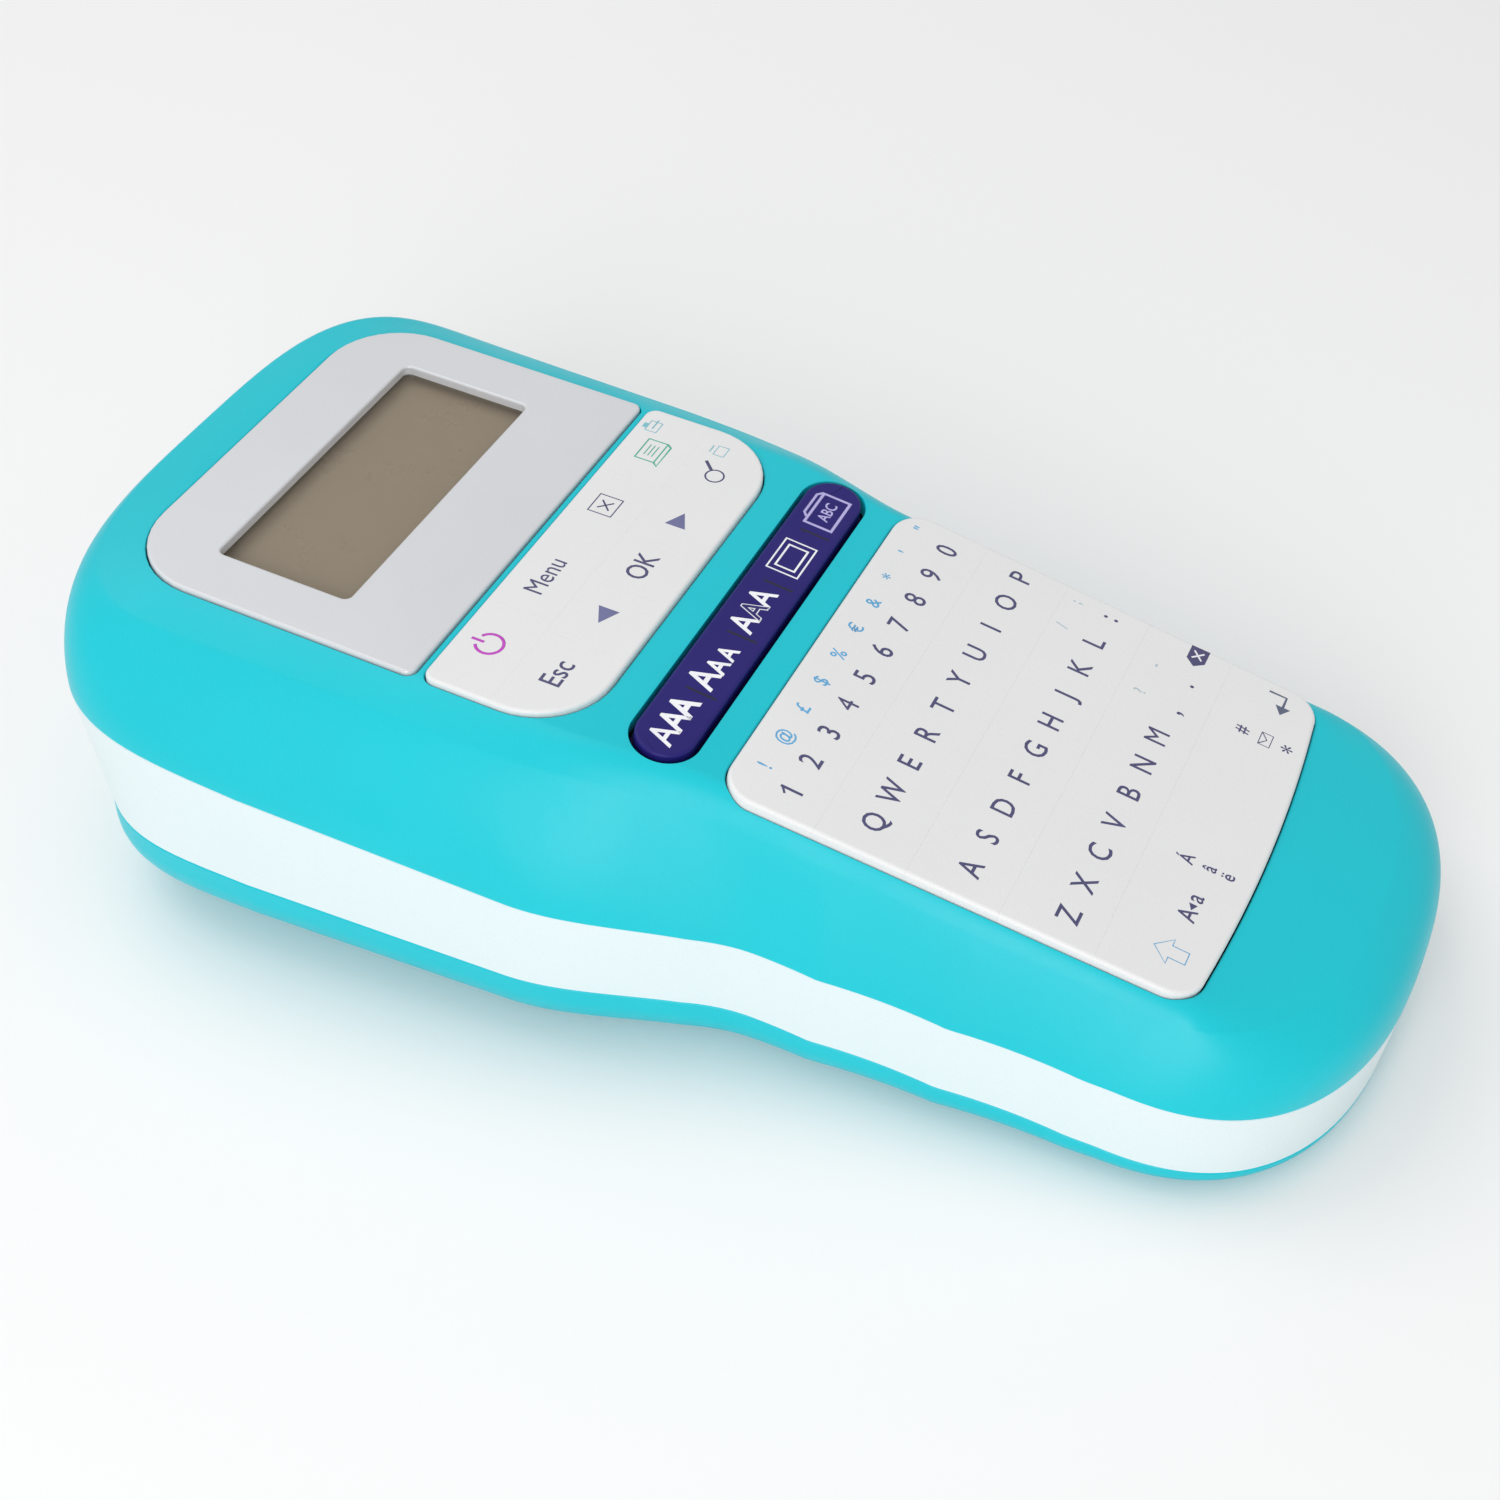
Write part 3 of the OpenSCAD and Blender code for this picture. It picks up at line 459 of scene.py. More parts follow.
def keypad_shape():
    """Tapers towards its lower edge, which bows out between the corners."""
    points = []
    for sx, sy, width, start in ((1, -1, KEYPAD_LOW_W, 270), (1, 1, KEYPAD_TOP_W, 0),
                                 (-1, 1, KEYPAD_TOP_W, 90), (-1, -1, KEYPAD_LOW_W, 180)):
        for k in range(11):
            a = math.radians(start + 9 * k)
            points.append(Vector((sx * (width / 2 - KEYPAD_R) + KEYPAD_R * math.cos(a),
                                  KEYPAD_Y + sy * (KEYPAD_L / 2 - KEYPAD_R) + KEYPAD_R * math.sin(a))))
    for k in range(-7, 8):
        points.append(Vector((k / 8 * (KEYPAD_LOW_W / 2 - KEYPAD_R),
                              KEYPAD_Y - KEYPAD_L / 2 - KEYPAD_BOW * (1 - k * k / 64))))
    return points


keypad_outline = keypad_shape()
panel_outline = shifted(rounded(PANEL_W, PANEL_L, 1.5, PANEL_R), 0, PANEL_Y)
nav_outline = shifted(rounded(NAV_W, NAV_L, NAV_R, 2), 0, NAV_Y)
strip_slot = rounded(STRIP_W, STRIP_L, STRIP_L / 2 - 0.01, STRIP_L / 2 - 0.01, 14)


def grown(outline, d):
    count = len(outline)
    moved = []
    for k in range(count):
        t = (outline[(k + 1) % count] - outline[k - 1]).normalized()
        moved.append(Vector((outline[k].x + d * t.y, outline[k].y - d * t.x)))
    return moved


def make_upper_shell():
    shell = loft("shell_upper", upper_rings(0, 0, 22))
    hollow = loft("hollow", upper_rings(WALL, -1, 8))
    carve(shell, hollow)
    for plane, outline, name in ((ON_TOP, panel_outline, "a"), (ON_TOP, nav_outline, "b"),
                                 (ON_STRIP, strip_slot, "c"), (ON_KEYS, keypad_outline, "d")):
        cutter = opening(name, grown(outline, OPENING_GAP), -8, 0.35)
        cutter.data.transform(plane @ Matrix.Translation((0, 0, CLEAR)))
        carve(shell, cutter)
    return place(soften(shell))


shell_upper = make_upper_shell()


def make_band():
    """The light band with the deck and the bays inside it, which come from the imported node."""
    edge = inset(RIM, EDGE)
    band = loft("light_band", [at_seam(edge, 0), at_seam(RIM, EDGE), at_z(RIM, -EDGE), at_z(edge, 0)])
    inside = inset(RIM, BAND_WALL)
    carve(band, loft("inside", [at_seam(inside, -1), at_z(inside, 1)]))
    carve(band, block("slit", (SLIT_X, 105, -BAND_H - 1.1), (SLIT_W, 30, BAND_H + 5)))
    carve(band, block("lever_notch", (55, 81.1, -9.1), (30, 18.9, 6)))
    bpy.ops.mesh.primitive_cylinder_add(vertices=48, radius=3.5, depth=20)
    at = Matrix.Translation((50, 14, -8.1)) @ Matrix.Rotation(math.pi / 2, 4, "Y")
    carve(band, laid(fresh("socket"), at))
    only(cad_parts["mid_case"])
    bpy.ops.object.duplicate()
    deck = fresh("deck")
    deck.parent = None
    for key in list(deck.keys()):
        del deck[key]
    deck.matrix_world = Matrix.Identity(4)
    deck.data.transform(ON_TABLE.inverted())
    edit(deck)
    bpy.ops.mesh.select_all(action="SELECT")
    bpy.ops.mesh.remove_doubles(threshold=0.002)
    done()
    core = inset(RIM, BAND_WALL - 0.1)      # reaches into the skin, so the two join
    carve(deck, loft("core", [at_seam(core, 0.003), at_z(core, -0.003)]), "INTERSECT")
    carve(band, deck, "UNION")
    return place(soften(band))


light_band = make_band()


def make_back():
    back = loft("back_skin", back_rings(0, 0))
    carve(back, loft("hollow", back_rings(WALL, 1, 8)))
    carve(back, block("slit", (SLIT_X, 105, -14), (SLIT_W, 40, 24)))
    carve(back, block("latch_window", (0, -84, -15), (16.6, 11.1, 30)))
    return place(soften(back))


back_skin = make_back()


def make_panel():
    panel = slab("panel_face", panel_outline, -2.7, PANEL_RISE, 0.45)
    window = shifted(rounded(WINDOW_W, WINDOW_L, 1.2, 1.2), 0, WINDOW_Y)
    cutter = prism("window", window, [(1.6, -4), (1.6, -1.05), (0, -1.04), (0, PANEL_RISE - LIP)]
                   + [(g, PANEL_RISE + z) for g, z in quarter(LIP)] + [(LIP, 3)])
    carve(panel, cutter)
    return place(soften(panel), ON_TOP)


panel_face = make_panel()


# ---- pads and keys ----
def pad_rows(top, edge):
    return [(0, -2.2)] + [(-g, top + z) for g, z in quarter(edge)]


key_pads = {}
nav_solid = prism("nav_solid", nav_outline, pad_rows(PAD_RISE, 0.55))
nav_lo, nav_hi = NAV_Y - NAV_L / 2 - 1, NAV_Y + NAV_L / 2 + 1
nav_names = (("power", "menu", "clear", "print"), ("escape", "left", "ok", "right", "preview"))
for names, xs, y0, y1 in ((nav_names[0], NAV_UPPER_X, NAV_SPLIT, nav_hi),
                          (nav_names[1], NAV_LOWER_X, nav_lo, NAV_SPLIT)):
    for i, name in enumerate(names):
        x0 = xs[i] if i else -PAST
        x1 = xs[i + 1] if i < len(names) - 1 else PAST
        key_pads["nav_" + name] = (cut_out(nav_solid, "cap_" + name, x0, x1, y0, y1), ON_TOP)
bpy.data.objects.remove(nav_solid)

strip_solid = prism("strip_solid", grown(strip_slot, -STRIP_INSET), pad_rows(STRIP_TOP, 0.5))
style_names = ("bold", "outline", "shadow", "frame", "label")
for i, name in enumerate(style_names):
    x0 = STYLE_X[i] if i else -PAST
    x1 = STYLE_X[i + 1] if i < 4 else PAST
    key_pads["style_" + name] = (cut_out(strip_solid, "cap_" + name, x0, x1, -PAST, PAST), ON_STRIP)
bpy.data.objects.remove(strip_solid)

keypad_solid = prism("keypad_solid", keypad_outline, pad_rows(PAD_RISE, 0.65))
row_names = ("digits", "upper", "home", "lower", "space")
row_hi = KEYPAD_Y + KEYPAD_L / 2 - 1
for k, name in enumerate(row_names):
    y1 = row_hi - k * ROW_PITCH if k else PAST
    y0 = row_hi - (k + 1) * ROW_PITCH if k < 4 else -PAST
    key_pads["row_" + name] = (cut_out(keypad_solid, "row_" + name, -PAST, PAST, y0, y1), ON_KEYS)
bpy.data.objects.remove(keypad_solid)
for body, (piece, plane) in key_pads.items():
    place(soften(piece), plane)
key_pads = {body: piece for body, (piece, plane) in key_pads.items()}


def pad_base(name, outline, plane):
    return place(soften(slab(name, outline, -3.4, -3.05)), plane)


nav_base = pad_base("nav_base", nav_outline, ON_TOP)
strip_base = pad_base("strip_base", strip_slot, ON_STRIP)
key_base = pad_base("key_base", keypad_outline, ON_KEYS)


# ---- printed legends, and painted shade along the strip's seams ----
INK_T = 0.012            # thickness of the print
UNWEIGHTED = ("M", "4", "Menu")   # these close up when weighted


def lettering(text, x, y, size, wide=0.86, top=PAD_RISE, weight=0.03):
    """Printed letters. wide is their width against the font's own, weight what thickens them."""
    bpy.ops.object.select_all(action="DESELECT")
    bpy.ops.object.text_add(location=(x, y, top))
    t = bpy.context.active_object
    t.data.body = text
    t.data.align_x, t.data.align_y = "CENTER", "CENTER"
    t.data.size = size
    t.data.extrude = INK_T
    t.data.offset = 0 if text in UNWEIGHTED else weight
    t.data.resolution_u = 3
    t.scale = (wide, 1, 1)
    only(t)
    bpy.ops.object.convert(target="MESH")
    bpy.ops.object.transform_apply(location=True, rotation=True, scale=True)
    return bpy.context.active_object


def mark(outline, x, y):
    """A printed shape: a filled outline, barely raised."""
    moved = [Vector((x + a, y + b)) for a, b in outline]
    return slab("mark", moved, PAD_RISE - INK_T, PAD_RISE + INK_T)


def stroke(points, width, x, y, top=PAD_RISE, closed=False):
    """A printed line through points, width wide. The strip's seam dashes also use it, as painted shade."""
    bpy.ops.object.select_all(action="DESELECT")
    line = bpy.data.curves.new("stroke", "CURVE")
    line.dimensions = "3D"
    spline = line.splines.new("POLY")
    spline.points.add(len(points) - 1)
    for q, (a, b) in zip(spline.points, points):
        q.co = (x + a, y + b, top, 1)
    spline.use_cyclic_u = closed
    line.bevel_depth, line.bevel_resolution = width / 2, 1
    obj = bpy.data.objects.new("stroke", line)
    bpy.context.scene.collection.objects.link(obj)
    only(obj)
    bpy.ops.object.convert(target="MESH")
    obj = bpy.context.active_object
    for v in obj.data.vertices:
        v.co.z = top + (v.co.z - top) * 2 * INK_T / width
    return obj


def circle_points(r, a0=0, a1=360):
    turns = [math.radians(mix(a0, a1, k / 24)) for k in range(25)]
    return [(r * math.cos(a), r * math.sin(a)) for a in turns]


def box_points(w, h):
    return [(-w / 2, -h / 2), (w / 2, -h / 2), (w / 2, h / 2), (-w / 2, h / 2)]


ink_and_shade_pieces = {}


def print_on(body, ink, plane, pieces):
    name = f"ink_{body}_{ink}"
    piece = join(pieces, name)
    place(piece, plane)
    ink_and_shade_pieces[name] = (piece, body, ink)


CAP = 4.95               # letter size that gives 3.6 mm capitals
SHIFT = 1.3              # how far the letter rows sit to the right of the digits
DIGITS_Y, SIGNS_Y = -23.2, -17.9
ROW_UPPER_Y, ROW_HOME_Y, ROW_LOWER_Y, ROW_SPACE_Y = -35.4, -50.2, -65, -79.4


def column(c):
    return (c - 4.5) * KEY_PITCH


print_on("row_digits", "slate", ON_KEYS,
         [lettering(t, column(c), DIGITS_Y, CAP) for c, t in enumerate("1234567890")]
         + [stroke([(-1.05, 0.85), (-0.05, 1.6)], 0.36, column(0), DIGITS_Y)])
print_on("row_digits", "blue", ON_KEYS,
         [lettering(t, column(c) + 2.0, SIGNS_Y, 3.3) for c, t in enumerate("!@\u00a3$%\u20ac&*'\"")])
print_on("row_upper", "slate", ON_KEYS,
         [lettering(t, column(c) + SHIFT, ROW_UPPER_Y, CAP) for c, t in enumerate("QWERTYUIOP")])
print_on("row_home", "slate", ON_KEYS,
         [lettering(t, column(c) + SHIFT, ROW_HOME_Y, CAP) for c, t in enumerate("ASDFGHJKL:")])
print_on("row_lower", "slate", ON_KEYS,
         [lettering(t, column(c) + SHIFT, ROW_LOWER_Y, CAP) for c, t in enumerate("ZXCVBNM,.")]
         + [mark([(-2.2, 0), (-0.9, 1.5), (2.1, 1.5), (2.1, -1.5), (-0.9, -1.5)], 30.3, ROW_LOWER_Y)])
print_on("row_lower", "white", ON_KEYS,
         [stroke([(-0.5, -0.8), (1.2, 0.8)], 0.32, 30.3, ROW_LOWER_Y, PAD_RISE + INK_T),
          stroke([(-0.5, 0.8), (1.2, -0.8)], 0.32, 30.3, ROW_LOWER_Y, PAD_RISE + INK_T)])
print_on("row_home", "pale", ON_KEYS, [lettering(t, x, -44.6, 2.8) for t, x in ((";", 30.5), ("/", 24.3))])
print_on("row_lower", "pale", ON_KEYS, [lettering("?", 18.3, -59.6, 2.8), lettering("-", 24.9, -59.8, 2.8)])
print_on("row_space", "slate", ON_KEYS,
         [lettering("A", -18.3, ROW_SPACE_Y, 3.9), lettering("a", -14.9, ROW_SPACE_Y, 3.9),
          mark([(-0.7, 0), (0.5, 0.65), (0.5, -0.65)], -16.6, -79.5),
          lettering("\u00c1", -8.7, -76.2, 3.1), lettering("\u00e2", -8.7, -79.6, 3.1),
          lettering("\u00eb", -8.7, -82.4, 3.1),
          lettering("#", 19.9, -75.6, 3.0), stroke(box_points(2.6, 1.8), 0.2, 19.9, ROW_SPACE_Y, closed=True),
          stroke([(-1.3, 0.9), (0, -0.2), (1.3, 0.9)], 0.2, 19.9, ROW_SPACE_Y),
          lettering("*", 19.9, -83.6, 4.2)])
print_on("row_space", "slate2", ON_KEYS,
         [stroke([(1.6, 2.4), (1.6, -0.4), (-0.8, -0.4)], 0.42, 28.5, ROW_SPACE_Y),
          mark([(-2.4, -0.4), (-0.6, 0.8), (-0.6, -1.6)], 28.5, ROW_SPACE_Y)])
print_on("row_space", "blue", ON_KEYS,
         [stroke([(0, 2.6), (2.3, 0.2), (1.1, 0.2), (1.1, -2.3), (-1.1, -2.3), (-1.1, 0.2), (-2.3, 0.2)],
                 0.22, -25.7, ROW_SPACE_Y, closed=True)])

UPPER_Y, LOWER_Y = 27.4, 15.6
print_on("nav_power", "magenta", ON_TOP,
         [stroke(circle_points(2.1, 118, 422), 0.5, -25.6, UPPER_Y),
          stroke([(0, 0.9), (0, 3.0)], 0.5, -25.6, UPPER_Y)])
print_on("nav_menu", "slate", ON_TOP, [lettering("Menu", -8.7, UPPER_Y, 4.6, 0.84)])
print_on("nav_clear", "slate", ON_TOP,
         [stroke(box_points(4.4, 4.0), 0.3, 10.2, UPPER_Y, closed=True),
          stroke([(-1, -1), (1, 1)], 0.3, 10.2, UPPER_Y), stroke([(-1, 1), (1, -1)], 0.3, 10.2, UPPER_Y)])
print_on("nav_print", "green", ON_TOP,
         [stroke(box_points(5.2, 3.4), 0.36, 25.8, UPPER_Y, closed=True),
          stroke([(-2.6, -1.7), (-3.3, -2.5), (2.0, -2.5), (2.6, -1.7)], 0.36, 25.8, UPPER_Y)]
         + [stroke([(-1.4, y), (1.4, y)], 0.2, 25.8, UPPER_Y) for y in (-0.7, 0, 0.7)])
print_on("nav_print", "cyan", ON_TOP,
         [stroke(box_points(2.6, 2.0), 0.25, 31.5, UPPER_Y + 2.5, closed=True),
          stroke([(-0.6, 0), (1.9, 0)], 0.25, 31.5, UPPER_Y + 2.5),
          mark(box_points(1.2, 0.8), 31.3, UPPER_Y + 3.9)])
print_on("nav_escape", "slate", ON_TOP, [lettering("Esc", -26.4, LOWER_Y, 4.9, 0.86)])
ARROW = [(-2.0, 0), (1.5, 1.75), (1.5, -1.75)]
print_on("nav_left", "arrow", ON_TOP, [mark(ARROW, -12.2, LOWER_Y)])
print_on("nav_ok", "slate", ON_TOP, [lettering("OK", 0, LOWER_Y, 5.0, 0.82)])
print_on("nav_right", "arrow", ON_TOP, [mark([(-a, -b) for a, b in ARROW], 12.3, LOWER_Y)])
print_on("nav_preview", "slate", ON_TOP,
         [stroke(circle_points(1.5), 0.3, 24.8, LOWER_Y),
          stroke([(1.1, 1.1), (2.9, 2.9)], 0.55, 24.8, LOWER_Y)])
print_on("nav_preview", "cyan", ON_TOP,
         [stroke(box_points(2.4, 1.8), 0.22, 30.9, LOWER_Y + 1.8, closed=True),
          stroke([(-0.9, 1.7), (0.9, 1.7)], 0.22, 30.9, LOWER_Y + 1.8)])

for name, x, sizes, weights in (("bold", -26.3, (5.7, 5.7, 5.7), (0.06, 0.12, 0.16)),
                                ("outline", -13.4, (6.2, 4.5, 4.2), (0.09, 0.09, 0.09)),
                                ("shadow", 0, (5.8, 5.2, 5.8), (0.07, 0.20, 0.07))):
    drop = [-(6.2 - z) * 0.36 * (name == "outline") for z in sizes]
    print_on("style_" + name, "white", ON_STRIP,
             [lettering("A", x + dx, dy, z, 0.92, top=STRIP_TOP, weight=w)
              for dx, dy, z, w in zip((-3.3, 0, 3.1), drop, sizes, weights)])
print_on("style_shadow", "dark", ON_STRIP,
         [lettering("A", 0, 0, 5.2, 0.92, top=STRIP_TOP + 2 * INK_T, weight=0.03)])
print_on("style_frame", "white", ON_STRIP,
         [stroke(box_points(7.4, 5.2), 0.42, 13.4, 0, STRIP_TOP, closed=True),
          stroke(box_points(5.2, 3.2), 0.5, 13.4, 0, STRIP_TOP, closed=True)])
print_on("style_label", "lilac", ON_STRIP,
         [stroke(box_points(7.6, 4.6), 0.7, 26.0, -0.4, STRIP_TOP, closed=True),
          stroke([(-2.6, 2.5), (-1.8, 3.2), (3.0, 3.2), (3.9, 2.4)], 0.5, 26.0, -0.4, STRIP_TOP),
          lettering("ABC", 26.0, -0.45, 2.7, 0.85, top=STRIP_TOP, weight=0.03)])
# The seam dashes are painted shade, not print: near-black lines on the navy strip between its keys, where the
# raised ridges there are in shade.
for name, x in zip(style_names[1:], STYLE_X[1:5]):
    print_on("style_" + name, "seam", ON_STRIP, [stroke([(0.32, -3.3), (0.32, 1.6)], 0.42, x, 0, STRIP_TOP)])


# ---- finishes ----
def sockets(group, ins, outs):
    for name, kind, default in ins:
        s = group.interface.new_socket(name=name, in_out="INPUT", socket_type=kind)
        s.default_value = default
    for name, kind in outs:
        group.interface.new_socket(name=name, in_out="OUTPUT", socket_type=kind)


def maths(tree, operation, a, b=None, clamp=False):
    node = tree.nodes.new("ShaderNodeMath")
    node.operation, node.use_clamp = operation, clamp
    for socket, value in zip(node.inputs, (a, b)):
        if value is None:
            continue
        if isinstance(value, (int, float)):
            socket.default_value = value
        else:
            tree.links.new(value, socket)
    return node.outputs[0]


def spread(tree, value, lo, hi, to_lo, to_hi):
    node = tree.nodes.new("ShaderNodeMapRange")
    for socket, v in zip(node.inputs[1:5], (lo, hi, to_lo, to_hi)):
        if isinstance(v, (int, float)):
            socket.default_value = v
        else:
            tree.links.new(v, socket)
    tree.links.new(value, node.inputs[0])
    return node.outputs[0]


def blended(tree, fac, a, b):
    node = tree.nodes.new("ShaderNodeMix")
    node.data_type = "RGBA"
    for socket, v in ((node.inputs[0], fac), (node.inputs[6], a), (node.inputs[7], b)):
        if isinstance(v, (int, float)) or isinstance(v, tuple):
            socket.default_value = v
        else:
            tree.links.new(v, socket)
    return node.outputs[2]


def noise(tree, vector, scale, detail=2.0, rough=0.5):
    node = tree.nodes.new("ShaderNodeTexNoise")
    node.inputs["Detail"].default_value = detail
    node.inputs["Roughness"].default_value = rough
    if isinstance(scale, (int, float)):
        node.inputs["Scale"].default_value = scale
    else:
        tree.links.new(scale, node.inputs["Scale"])
    tree.links.new(vector, node.inputs["Vector"])
    return node.outputs["Fac"]


def object_place(tree):
    return tree.nodes.new("ShaderNodeTexCoord").outputs["Object"]


def moulded_group():
    """Moulded plastic: spark-eroded grain, slow changes of tint, and the sheen of handling."""
    g = bpy.data.node_groups.new("moulded", "ShaderNodeTree")
    sockets(g, [("Colour", "NodeSocketColor", (0.5, 0.5, 0.5, 1)),
                ("Tint", "NodeSocketColor", (0.5, 0.5, 0.5, 1)),
                ("Grain", "NodeSocketFloat", 3500), ("Patches", "NodeSocketFloat", 30),
                ("Rough", "NodeSocketFloat", 0.35), ("Wear", "NodeSocketFloat", 0.1)],
            [("Colour", "NodeSocketColor"), ("Roughness", "NodeSocketFloat"), ("Height", "NodeSocketFloat")])
    inside, outside = g.nodes.new("NodeGroupInput"), g.nodes.new("NodeGroupOutput")
    place_at = object_place(g)
    grain = noise(g, place_at, inside.outputs["Grain"], 2.0)
    patches = noise(g, place_at, inside.outputs["Patches"], 3.0, 0.55)
    handled = noise(g, place_at, maths(g, "MULTIPLY", inside.outputs["Patches"], 2.7), 5.0, 0.65)
    soft = spread(g, patches, 0.3, 0.7, 0, 1)
    colour = blended(g, soft, inside.outputs["Colour"], inside.outputs["Tint"])
    speckle = spread(g, grain, 0.25, 0.75, 0.97, 1.03)
    shade = g.nodes.new("ShaderNodeVectorMath")
    shade.operation = "SCALE"
    g.links.new(colour, shade.inputs[0])
    g.links.new(speckle, shade.inputs["Scale"])
    g.links.new(shade.outputs[0], outside.inputs["Colour"])
    rub = maths(g, "MULTIPLY", spread(g, handled, 0.35, 0.7, -1, 1), inside.outputs["Wear"])
    g.links.new(maths(g, "ADD", rub, inside.outputs["Rough"], True), outside.inputs["Roughness"])
    g.links.new(grain, outside.inputs["Height"])
    return g


def streaks_group():
    """Drawn or rolled metal: long fine streaks with a few stains."""
    g = bpy.data.node_groups.new("streaks", "ShaderNodeTree")
    sockets(g, [("Colour", "NodeSocketColor", (0.5, 0.5, 0.5, 1)),
                ("Tint", "NodeSocketColor", (0.5, 0.5, 0.5, 1)),
                ("Fineness", "NodeSocketFloat", 900), ("Rough", "NodeSocketFloat", 0.3),
                ("Wear", "NodeSocketFloat", 0.1)],
            [("Colour", "NodeSocketColor"), ("Roughness", "NodeSocketFloat"), ("Height", "NodeSocketFloat")])
    inside, outside = g.nodes.new("NodeGroupInput"), g.nodes.new("NodeGroupOutput")
    turned = g.nodes.new("ShaderNodeMapping")
    turned.inputs["Scale"].default_value = (0.05, 1, 1)
    place_at = object_place(g)
    g.links.new(place_at, turned.inputs["Vector"])
    lines = noise(g, turned.outputs[0], inside.outputs["Fineness"], 3.0)
    stains = noise(g, place_at, 120.0, 4.0, 0.6)
    stained = spread(g, stains, 0.35, 0.7, 0, 1)
    colour = blended(g, stained, inside.outputs["Colour"], inside.outputs["Tint"])
    g.links.new(colour, outside.inputs["Colour"])
    rub = maths(g, "MULTIPLY", spread(g, lines, 0.3, 0.7, -1, 1), inside.outputs["Wear"])
    g.links.new(maths(g, "ADD", rub, inside.outputs["Rough"], True), outside.inputs["Roughness"])
    g.links.new(lines, outside.inputs["Height"])
    return g


MOULDED, STREAKS = moulded_group(), streaks_group()
RELIEF_MM = 0.01         # depth of the grain


def finish(name, group, colour, tint, values, bump=0.1, **constants):
    """A material round one of the shared effects. constants go straight onto the shader's sockets."""
    mat = bpy.data.materials.new(name)
    mat.use_nodes = True
    tree = mat.node_tree
    shader = tree.nodes["Principled BSDF"]
    effect = tree.nodes.new("ShaderNodeGroup")
    effect.node_tree = group
    effect.inputs["Colour"].default_value = (*colour, 1)
    effect.inputs["Tint"].default_value = (*tint, 1)
    for key, value in values.items():
        effect.inputs[key].default_value = value
    relief = tree.nodes.new("ShaderNodeBump")
    relief.inputs["Strength"].default_value = bump
    relief.inputs["Distance"].default_value = RELIEF_MM * MM
    tree.links.new(effect.outputs["Colour"], shader.inputs["Base Color"])
    tree.links.new(effect.outputs["Roughness"], shader.inputs["Roughness"])
    tree.links.new(effect.outputs["Height"], relief.inputs["Height"])
    tree.links.new(relief.outputs["Normal"], shader.inputs["Normal"])
    for key, value in constants.items():
        shader.inputs[key.replace("_", " ").title().replace("Ior", "IOR")].default_value = value
    return mat


def plastic(name, colour, tint, rough=0.35, wear=0.06, grain=3500, patches=25, bump=0.12, **constants):
    values = {"Grain": grain, "Patches": patches, "Rough": rough, "Wear": wear}
    return finish(name, MOULDED, colour, tint, values, bump, **constants)


def metal(name, colour, tint, rough=0.3):
    return finish(name, STREAKS, colour, tint, {"Fineness": 900, "Rough": rough, "Wear": 0.1}, metallic=1.0)


teal = plastic("teal_shell", (0.004, 0.56, 0.65), (0.006, 0.53, 0.62), 0.42, 0.05, 4200, 18, 0.10,
               specular_ior_level=0.30)
light = plastic("white_band", (0.74, 0.84, 0.86), (0.72, 0.83, 0.85), 0.40, 0.03, 4200, 20, 0.08)
silver = plastic("silver_panel", (0.65, 0.665, 0.69), (0.68, 0.695, 0.72), 0.33, 0.05, 6000, 22, 0.08,
                 metallic=0.12, coat_weight=0.2, coat_roughness=0.2)
pad_white = plastic("key_rubber", (0.78, 0.78, 0.785), (0.80, 0.80, 0.805), 0.45, 0.05, 5000, 30, 0.08)
navy = plastic("navy_rubber", (0.014, 0.008, 0.145), (0.018, 0.011, 0.165), 0.48, 0.05, 4500, 40, 0.10,
               specular_ior_level=0.25)
black = plastic("black_plastic", (0.016, 0.016, 0.018), (0.024, 0.024, 0.026), 0.5, 0.08, 2600, 60, 0.3)
nylon = plastic("nylon", (0.72, 0.71, 0.67), (0.76, 0.75, 0.72), 0.42, 0.06, 2500, 90, 0.1)
rubber = plastic("platen_rubber", (0.02, 0.02, 0.022), (0.03, 0.03, 0.032), 0.75, 0.08, 2200, 90, 0.35)
ceramic = plastic("ceramic", (0.70, 0.68, 0.62), (0.62, 0.60, 0.55), 0.3, 0.1, 1800, 160, 0.1)
cassette_dark = plastic("cassette_plastic", (0.030, 0.033, 0.040), (0.038, 0.041, 0.05), 0.42, 0.08, 2600,
                        50, 0.2)
cassette_grey = plastic("cassette_grey", (0.24, 0.26, 0.28), (0.27, 0.29, 0.31), 0.45, 0.08, 2600, 50, 0.2)
flex_film = plastic("flex_film", (0.42, 0.19, 0.05), (0.50, 0.24, 0.07), 0.3, 0.1, 1500, 200, 0.1)
steel = metal("steel", (0.60, 0.61, 0.63), (0.50, 0.51, 0.53))
brass = metal("brass", (0.70, 0.50, 0.20), (0.58, 0.40, 0.15), 0.25)
ribbon_film = plastic("ribbon_film", (0.012, 0.012, 0.014), (0.02, 0.02, 0.024), 0.18, 0.1, 1500, 80, 0.05)


def patterned(name, colour_a, colour_b, build, rough=0.35, **constants):
    """A material whose two colours meet along a pattern: build(tree, place) gives its mask."""
    mat = plastic(name, colour_a, colour_a, rough, **constants)
    tree = mat.node_tree
    effect = next(n for n in tree.nodes if n.type == "GROUP")
    shader = tree.nodes["Principled BSDF"]
    mask = build(tree, object_place(tree))
    tree.links.new(blended(tree, mask, effect.outputs["Colour"], (*colour_b, 1)), shader.inputs["Base Color"])
    return mat


def moved_place(tree, place_at, location=(0, 0, 0), scale=(1, 1, 1)):
    node = tree.nodes.new("ShaderNodeMapping")
    node.vector_type = "POINT"
    node.inputs["Location"].default_value = location
    node.inputs["Scale"].default_value = scale
    tree.links.new(place_at, node.inputs["Vector"])
    return node.outputs[0]


DOT_PITCH = 0.42         # the display's dots, in millimetres
DOT_REACH = 0.42         # from a dot's middle to its edge, as a share of the pitch


